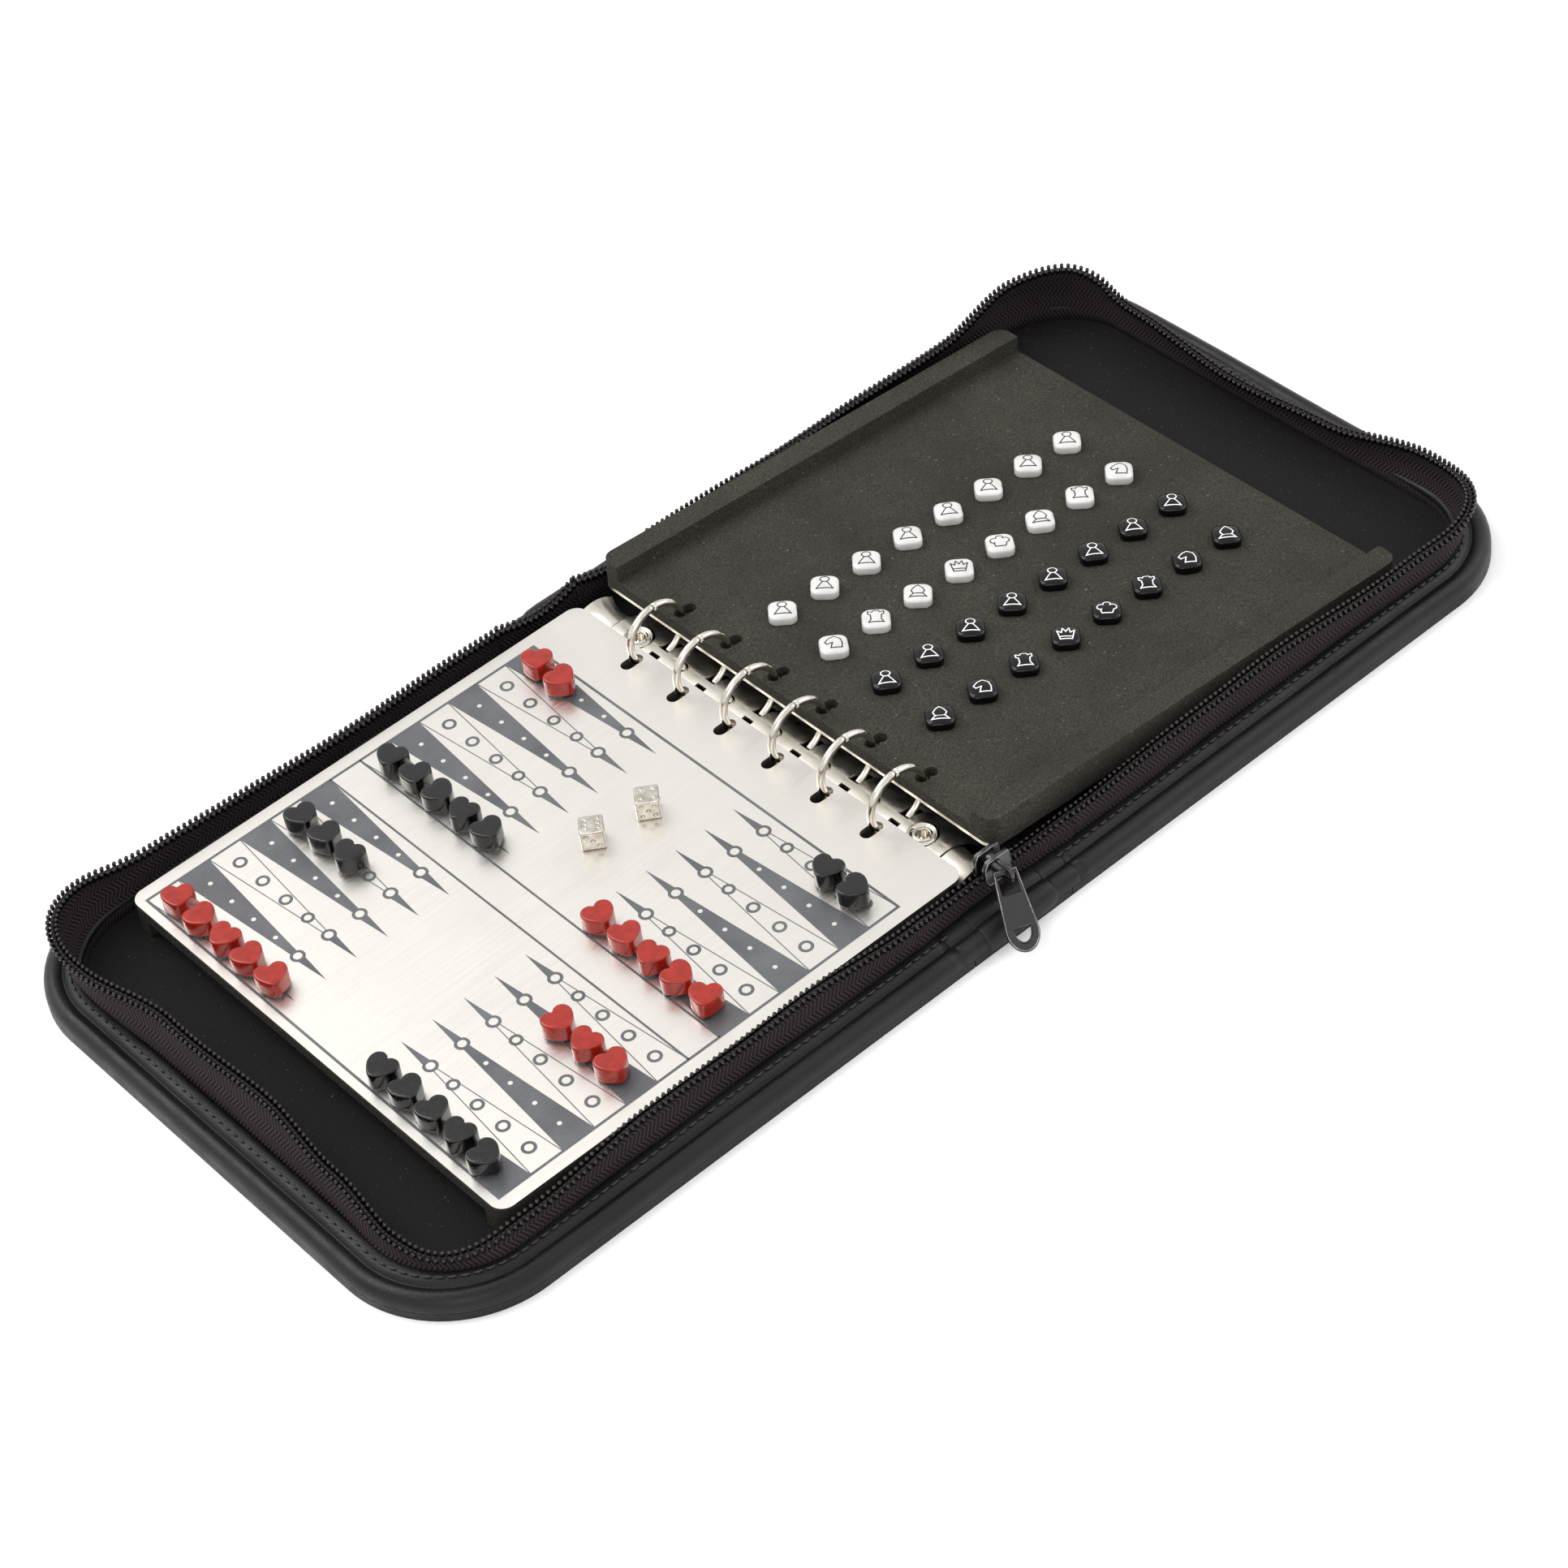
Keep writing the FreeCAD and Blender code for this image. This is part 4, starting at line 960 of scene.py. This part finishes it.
def gathered(name, copies, material):
    """One piece from many copies; each copy is its rows of closed rings and its place."""
    points, faces = [], []
    for rings, where in copies:
        start, width = len(points), len(rings[0])
        points += [where @ p for ring in rings for p in ring]
        for i in range(len(rings) - 1):
            for j in range(width):
                k = (j + 1) % width
                low, high = start + i * width, start + (i + 1) * width
                faces.append((low + j, low + k, high + k, high + j))
        faces.append(tuple(start + j for j in range(width))[::-1])
        last = start + (len(rings) - 1) * width
        faces.append(tuple(last + j for j in range(width)))
    return outward(mesh_object(name, points, faces, material))


# the right half of a man's outline in millimetres, from its shallow notch round to its blunt tip
HEART_HALF = [
    (0.0, 2.75), (1.0, 3.45), (2.5, 3.65), (3.9, 2.75), (4.4, 1.1), (3.9, -0.8), (2.5, -2.6), (1.1, -3.85),
    (0.0, -4.2),
]
# (size, height in millimetres) from a man's foot up its side and over its eased edge to its flat top
HEART_RINGS = [
    (0.98, 1.0), (1.0, 1.15), (1.0, 1.4), (1.0, 3.2), (1.0, 5.0), (1.0, 5.25), (0.985, 5.5), (0.955, 5.68),
    (0.91, 5.77), (0.86, 5.8), (0.5, 5.8), (0.15, 5.8),
]


def heart_outline():
    """Rounded heart, as a smooth closed curve."""
    return rounded_loop(HEART_HALF + [(-x, y) for x, y in HEART_HALF[-2:0:-1]], 64)


# colour, column, far side of the board, number of hearts: the opening position of the game
STACKS = [
    ("red", 0, True, 5), ("red", 4, False, 3), ("red", 6, False, 5), ("red", 11, True, 2),
    ("black", 0, False, 5), ("black", 4, True, 3), ("black", 6, True, 5), ("black", 11, False, 2),
]
MEN_ACROSS, MEN_FROM_EDGE, HEART_STEP = 4.2, 9.5, 10.2  # mm
HEART_TURN, HEART_SWAY = -36.0, 47.0  # degrees


def hearts(colour):
    rings = [[Vector((p.x * size * MM, p.y * size * MM, rise * MM)) for p in heart_outline()]
             for size, rise in HEART_RINGS]
    copies, hidden = [], []
    for own, column, upper, count in STACKS:
        if own != colour:
            continue
        for row in range(count):
            x = BOARD_LEFT + column * POINT + (BAR if column > 5 else 0.0) + MEN_ACROSS
            y = BOARD_HALF - MEN_FROM_EDGE - row * HEART_STEP
            wave = math.sin(2.3 * row + 1.7 * column + (0.0 if upper else 2.0))
            turn = Matrix.Rotation(math.radians(HEART_TURN + HEART_SWAY * wave), 4, "Z")
            spot = Vector((x * MM, (y if upper else -y) * MM, plate_high.z))
            copies.append((rings, Matrix.Translation(spot) @ turn))
        hidden.append(f"{colour}_hearts_{'far' if upper else 'near'}_{column + 1}")
    men = gathered(colour + "_heart_men", copies, FINISHES[colour + "_enamel"])
    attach(men, colour + "_men")
    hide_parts(*hidden)


PAGE_RIGHT = Matrix.Translation(Vector((5.0, 0.0, 14.2)) * MM) @ Matrix.Rotation(math.radians(4.0), 4, "Y")
FOAM_RISE = 4.2  # mm, the foam's top above the right page's underside
TILE_HALF, TILE_CORNER, TILE_HEIGHT, TILE_DOME = 3.9, 2.2, 3.2, 12.0
TILE_FIRST, TILE_STEP, TILE_FAR, TILE_ROW = 22.0, 15.35, 26.8, 20.6
TILE_TURN, TILE_SWAY = -38.0, 4.0  # degrees
BACK_ROWS = {
    "white": ["knight", "rook", "bishop", "queen", "king", "bishop", "rook", "knight"],
    "black": ["bishop", "knight", "rook", "queen", "king", "rook", "knight", "bishop"],
}
PAWN_ROWS = {"white": 0, "black": 2}
BACK_ROW = {"white": 1, "black": 3}


def tile_ring(half, corner, steps=6):
    """A square with round corners."""
    ring = []
    for quarter in range(4):
        for i in range(steps + 1):
            a = math.pi / 2 * (quarter + i / steps)
            middle = math.radians(45 + 90 * quarter)
            reach = (half - corner) * math.sqrt(2)
            ring.append(Vector((reach * math.cos(middle) + corner * math.cos(a),
                                reach * math.sin(middle) + corner * math.sin(a))))
    return ring


def tile_rings():
    """Foot, sides, rounded edge and domed top of a tile."""
    rings = []
    for inset, rise in ((0.12, 0.0), (0.0, 0.2), (0.0, 1.9), (0.08, 2.2), (0.28, 2.45)):
        outline = tile_ring(TILE_HALF - inset, TILE_CORNER)
        rings.append([Vector((p.x * MM, p.y * MM, rise * MM)) for p in outline])
    edge = tile_ring(TILE_HALF - 0.6, TILE_CORNER)
    for share in (1.0, 0.85, 0.68, 0.5, 0.32, 0.15):
        ring = []
        for p in edge:
            drop = TILE_DOME - math.sqrt(TILE_DOME ** 2 - (p * share).length_squared)
            ring.append(Vector((p.x * share * MM, p.y * share * MM, (TILE_HEIGHT - drop) * MM)))
        rings.append(ring)
    return rings


def tile_places(colour):
    """Each tile's kind and place on the right page's foam."""
    rows = ((PAWN_ROWS[colour], ["pawn"] * 8), (BACK_ROW[colour], BACK_ROWS[colour]))
    for row, kinds in rows:
        for column, kind in enumerate(kinds):
            x = TILE_FIRST + column * TILE_STEP
            turn = TILE_TURN + TILE_SWAY * math.sin(5 * column + row)
            spot = Matrix.Translation(Vector((x, TILE_FAR - row * TILE_ROW, FOAM_RISE)) * MM)
            yield kind, PAGE_RIGHT @ spot @ Matrix.Rotation(math.radians(turn), 4, "Z")


def tiles(colour, ink):
    rings = tile_rings()
    copies = [(rings, where) for _, where in tile_places(colour)]
    men = gathered(colour + "_tiles", copies, FINISHES[colour + "_tile"])
    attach(men, colour + "_chess_men")
    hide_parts(*[f"{colour}_{kind}" for kind in ("pawns", "rook", "bishop", "knight", "queen", "king")])
    points, faces = [], []
    for kind, where in tile_places(colour):

        def on_tile(p, level):
            flat = p * SYMBOL_SIZE
            drop = TILE_DOME - math.sqrt(TILE_DOME ** 2 - flat.length_squared)
            return where @ Vector((flat.x * MM, flat.y * MM, (TILE_HEIGHT - drop + 0.04) * MM))

        drawing = Drawing(on_tile, fine=True)
        SYMBOLS[kind](drawing)
        start = len(points)
        points += drawing.points
        faces += [tuple(start + i for i in face) for face in drawing.faces]
    symbols = mesh_object(colour + "_symbols", points, faces, ink)
    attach(symbols, colour + "_chess_men")


# ---------------------------------------------------------------- ring mechanism


RING_PITCH = 19.1  # mm
RING_PLACES = [RING_PITCH * (i - 2.5) for i in range(6)]
STUD_PLACES = [RING_PITCH * (i - 2) for i in range(5)]
RIVET_PLACES = [-56.5, 56.5]
RING_RADIUS, RING_WIRE, RING_HEIGHT = 9.2, 1.1, 16.8


def ring_wires(side):
    """Six half rings of round wire, from the joint at the top down to their blade."""
    sign = COVERS[side]
    copies = []
    steps, sides = 30, 16
    for y in RING_PLACES:
        rings = []
        for i in range(steps + 1):
            turn = math.radians(1.2 + 164.0 * i / steps)
            out = Vector((sign * math.sin(turn), 0, math.cos(turn)))
            middle = Vector((0, y, RING_HEIGHT)) + out * RING_RADIUS
            rings.append([
                (middle + (out * math.cos(a) + Vector((0, 1, 0)) * math.sin(a)) * RING_WIRE) * MM
                for a in (math.tau * k / sides for k in range(sides))
            ])
        copies.append((rings, Matrix()))
    wires = gathered(side + "_ring_wires", copies, FINISHES["nickel"])
    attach(wires, side + "_ring_half")
    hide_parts(side + "_rings")


def turned(name, node_name, places, profile):
    """Turned pieces: each the same profile of (radius, height) spun at a place along the spine."""
    sides = 36
    angles = [math.tau * k / sides for k in range(sides)]
    copies = []
    for y in places:
        rings = [[Vector((r * math.cos(a), y + r * math.sin(a), z)) * MM for a in angles] for r, z in profile]
        copies.append((rings, Matrix()))
    made = gathered(name, copies, FINISHES["nickel"])
    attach(made, "spine")
    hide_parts(node_name)


# (radius, height) in millimetres
RIVET_PROFILE = [
    (0.4, 3.3), (3.1, 3.3), (3.1, 9.1), (4.5, 9.1), (4.5, 9.8), (4.25, 10.3), (3.8, 10.58), (3.3, 10.5),
    (2.95, 10.1), (2.7, 9.95), (2.4, 10.1), (2.1, 10.3), (1.85, 10.1), (1.76, 9.6), (1.76, 4.1), (0.4, 4.05),
]
STUD_PROFILE = [
    (0.3, 8.9), (1.7, 9.0), (1.7, 9.7), (1.6, 10.25), (1.3, 10.75), (0.9, 11.05), (0.45, 11.25), (0.1, 11.3),
]


# ---------------------------------------------------------------- slider and pull

PIVOT = Vector(next(j for j in frame["record"]["behaviour"]["joints"] if j["name"] == "pull_swing")["pos_m"])
PULL_TURN, PULL_HANG = -26.0, 38.0  # degrees


def wire(name, points, radius, closed):
    """A round wire through points, as a mesh."""
    curve = bpy.data.curves.new(name, "CURVE")
    curve.dimensions = "3D"
    curve.bevel_depth = radius
    curve.bevel_resolution = 3
    curve.use_fill_caps = not closed
    spline = curve.splines.new("POLY")
    spline.points.add(len(points) - 1)
    for spot, p in zip(spline.points, points):
        spot.co = (*p, 1.0)
    spline.use_cyclic_u = closed
    holder = bpy.data.objects.new(name, curve)
    bpy.context.scene.collection.objects.link(holder)
    return bake(holder, name)


def flat_plate(name, outlines, thick, edge, where, material):
    """A plate cut to an outline with holes, its edges eased; where puts it in its place."""
    curve = bpy.data.curves.new(name, "CURVE")
    curve.dimensions = "2D"
    curve.fill_mode = "BOTH"
    curve.extrude = thick / 2 - edge
    curve.bevel_depth = edge
    curve.bevel_resolution = 2
    curve.offset = -edge
    for outline in outlines:
        spline = curve.splines.new("POLY")
        spline.points.add(len(outline) - 1)
        for spot, p in zip(spline.points, outline):
            spot.co = (p[0] * MM, p[1] * MM, 0.0, 1.0)
        spline.use_cyclic_u = True
    holder = bpy.data.objects.new(name, curve)
    bpy.context.scene.collection.objects.link(holder)
    made = bake(holder, name)
    made.data.transform(where)
    made.data.materials.clear()
    made.data.materials.append(material)
    return outward(made)


def zip_metal_piece(piece, body, material=None):
    if material:
        piece.data.materials.clear()
        piece.data.materials.append(material)
    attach(piece, body)


def slider():
    """Two plates over the teeth with a post between them, and a bail on the outer one."""
    low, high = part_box("zip_slider")
    depth, plate, edge = 5.0 * MM, 1.3 * MM, 0.3 * MM
    half, tall = high.x / MM, (high.z - low.z) / MM / 2
    middle = (low.z + high.z) / 2
    stand = Matrix.Rotation(math.radians(90), 4, "X")
    # a slider's plates narrow towards the end where the teeth run out closed
    outline = [(-half * 0.75, -tall), (half * 0.9, -tall), (half, -tall * 0.7), (half, tall * 0.7),
               (half * 0.9, tall), (-half * 0.75, tall), (-half, tall * 0.5), (-half, -tall * 0.5)]
    inner_y, outer_y = high.y - plate / 2, high.y - depth + plate / 2
    for name, y in (("slider_inner_plate", inner_y), ("slider_outer_plate", outer_y)):
        where = Matrix.Translation((0, y, middle)) @ stand
        face = flat_plate(name, [outline], plate, edge, where, FINISHES["zip_metal"])
        zip_metal_piece(face, "spine")
        if name == "slider_outer_plate":
            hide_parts("zip_slider")
        # a painted highlight: a bright metal line just inside the plate's eased edge
        glint_line = [where @ Vector((p[0] * 0.965 * MM, p[1] * 0.965 * MM, plate / 2)) for p in outline]
        zip_metal_piece(wire(name + "_worn_edge", glint_line, 0.12 * MM, True), "spine", EDGE_GLINT)
    post = [(-1.4, -tall * 0.8), (1.4, -tall * 0.8), (1.4, tall * 0.8), (-1.4, tall * 0.8)]
    where = Matrix.Translation((0, high.y - depth / 2, middle)) @ stand
    between = flat_plate("slider_post", [post], depth - plate, edge, where, FINISHES["zip_metal"])
    zip_metal_piece(between, "spine")
    outer, inner = low.y + 0.7 * MM, high.y - depth + 0.5 * MM
    foot, head = PIVOT.z - 2.1 * MM, PIVOT.z + 2.1 * MM
    ease = 1.0 * MM
    bail = [(0, inner, foot), (0, outer + ease, foot), (0, outer, foot + ease), (0, outer, head - ease),
            (0, outer + ease, head), (0, inner, head)]
    zip_metal_piece(wire("slider_bail", bail, 0.7 * MM, False), "spine", FINISHES["zip_metal"])


def rounded_end(half, start, end, count=16):
    """Points round a pull's end, from its right side over the tip to its left."""
    return [(half * math.cos(a), start - (start - end) * math.sin(a))
            for a in (math.pi * i / count for i in range(count + 1))]


def pull():
    """Stamped pull: narrow at the bail, flaring to a round end with a half-moon opening, and a beaded rim."""
    neck, wide, top, shoulder, tip = 3.05, 4.3, 0.55, -15.6, -20.9
    where = (Matrix.Translation(PIVOT) @ Matrix.Rotation(math.radians(PULL_TURN), 4, "Z")
             @ Matrix.Rotation(math.radians(PULL_HANG), 4, "X"))
    outline = [(-neck, top), (neck, top)] + rounded_end(wide, shoulder, tip)
    eye = [(-2.5, -0.75), (2.5, -0.75), (2.5, -6.1), (-2.5, -6.1)]
    moon = [(-2.7, -14.4), (2.7, -14.4)] + rounded_end(2.7, -15.0, -18.9, 10)
    plate = flat_plate("pull_plate", [outline, eye, moon], 0.8 * MM, 0.12 * MM, where, FINISHES["zip_metal"])
    zip_metal_piece(plate, "zip_pull")
    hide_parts("zip_pull")
    for name, ring, size in (("pull_bead", outline, 0.42), ("pull_moon_bead", moon, 0.3)):
        inset = [where @ Vector((x * 0.94 * MM, (y - (0.3 if y > 0 else -0.3)) * MM, 0.0)) for x, y in ring]
        zip_metal_piece(wire(name, inset, size * MM, True), "zip_pull", FINISHES["zip_metal"])
    # a painted highlight: a bright metal line along the top of the pull's beaded rim
    glint = [
        where @ Vector((x * 0.95 * MM, (y - (0.3 if y > 0 else -0.3)) * MM, 0.36 * MM)) for x, y in outline
    ]
    zip_metal_piece(wire("pull_worn_rim", glint, 0.14 * MM, True), "zip_pull", EDGE_GLINT)


# ---------------------------------------------------------------- build


def paint_frame():
    """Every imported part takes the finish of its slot."""
    for entry in frame["record"]["subparts"]:
        part = frame["nodes"][entry["node"]]
        part.data.materials.clear()
        hazed = entry["node"] in ("ring_arch", "far_lever", "near_lever")
        part.data.materials.append(HAZED_NICKEL if hazed else FINISHES[entry["material_slot"]])


def studio():
    """White paper floor, one large soft light above and two at the sides."""
    reach = 6.0
    corners = [(-reach, -reach, 0), (reach, -reach, 0), (reach, reach, 0), (-reach, reach, 0)]
    floor = mesh_object("paper_floor", corners, [(0, 1, 2, 3)], studio_paper())
    lights = (
        ("key", (-0.5, 0.9, 1.3), 1.2, 16.0),
        ("fill", (1.1, -0.5, 0.9), 1.0, 5.0),
        ("front", (-0.9, -0.9, 0.8), 0.8, 3.0),
    )
    for name, spot, size, power in lights:
        lamp = bpy.data.lights.new(name, "AREA")
        lamp.size = size
        lamp.energy = power
        holder = bpy.data.objects.new(name, lamp)
        holder.location = spot
        holder.rotation_euler = (-Vector(spot)).to_track_quat("-Z", "Y").to_euler()
        bpy.context.scene.collection.objects.link(holder)
    world = bpy.data.worlds.new("studio")
    bpy.context.scene.world = world
    world.use_nodes = True
    world.node_tree.nodes["Background"].inputs["Color"].default_value = (1.0, 1.0, 1.0, 1.0)
    world.node_tree.nodes["Background"].inputs["Strength"].default_value = 0.95
    bpy.context.scene.view_settings.view_transform = "Standard"


def camera():
    """A long lens from the near left, rolled a little clockwise."""
    spot = Vector((-465.1, -636.4, 743.4)) * MM
    aim = Vector((-5.5, -7.6, 0.0)) * MM
    roll = math.radians(8.22)
    lens = bpy.data.cameras.new("camera")
    lens.sensor_width = 36.0
    lens.lens = 93.58
    lens.clip_start, lens.clip_end = 0.05, 20.0
    holder = bpy.data.objects.new("camera", lens)
    facing = (aim - spot).to_track_quat("-Z", "Y").to_matrix()
    holder.matrix_world = Matrix.Translation(spot) @ (facing @ Matrix.Rotation(-roll, 3, "Z")).to_4x4()
    bpy.context.scene.collection.objects.link(holder)
    bpy.context.scene.camera = holder


camera()
paint_frame()
for side, sign in COVERS.items():
    rim_roll(side)
    rim_seam(side)
    teeth(side, zip_wall(side))
    hinge_strip(side, sign)
    ring_wires(side)
    for end, way in ENDS.items():
        rim_bridge(side, sign, end, way)
        gusset(side, sign, end, way)
for end, way in ENDS.items():
    patch(end, way)
turned("rivet_eyelets", "arch_rivets", RIVET_PLACES, RIVET_PROFILE)
turned("stud_domes", "arch_studs", STUD_PLACES, STUD_PROFILE)
slider()
pull()
board_print()
hearts("red")
hearts("black")
tiles("white", pad_ink("black_pad_ink", "111113"))
tiles("black", pad_ink("white_pad_ink", "F2F2EE"))
for pattern in (TOOTH, STITCH):
    bpy.data.objects.remove(pattern)
studio()
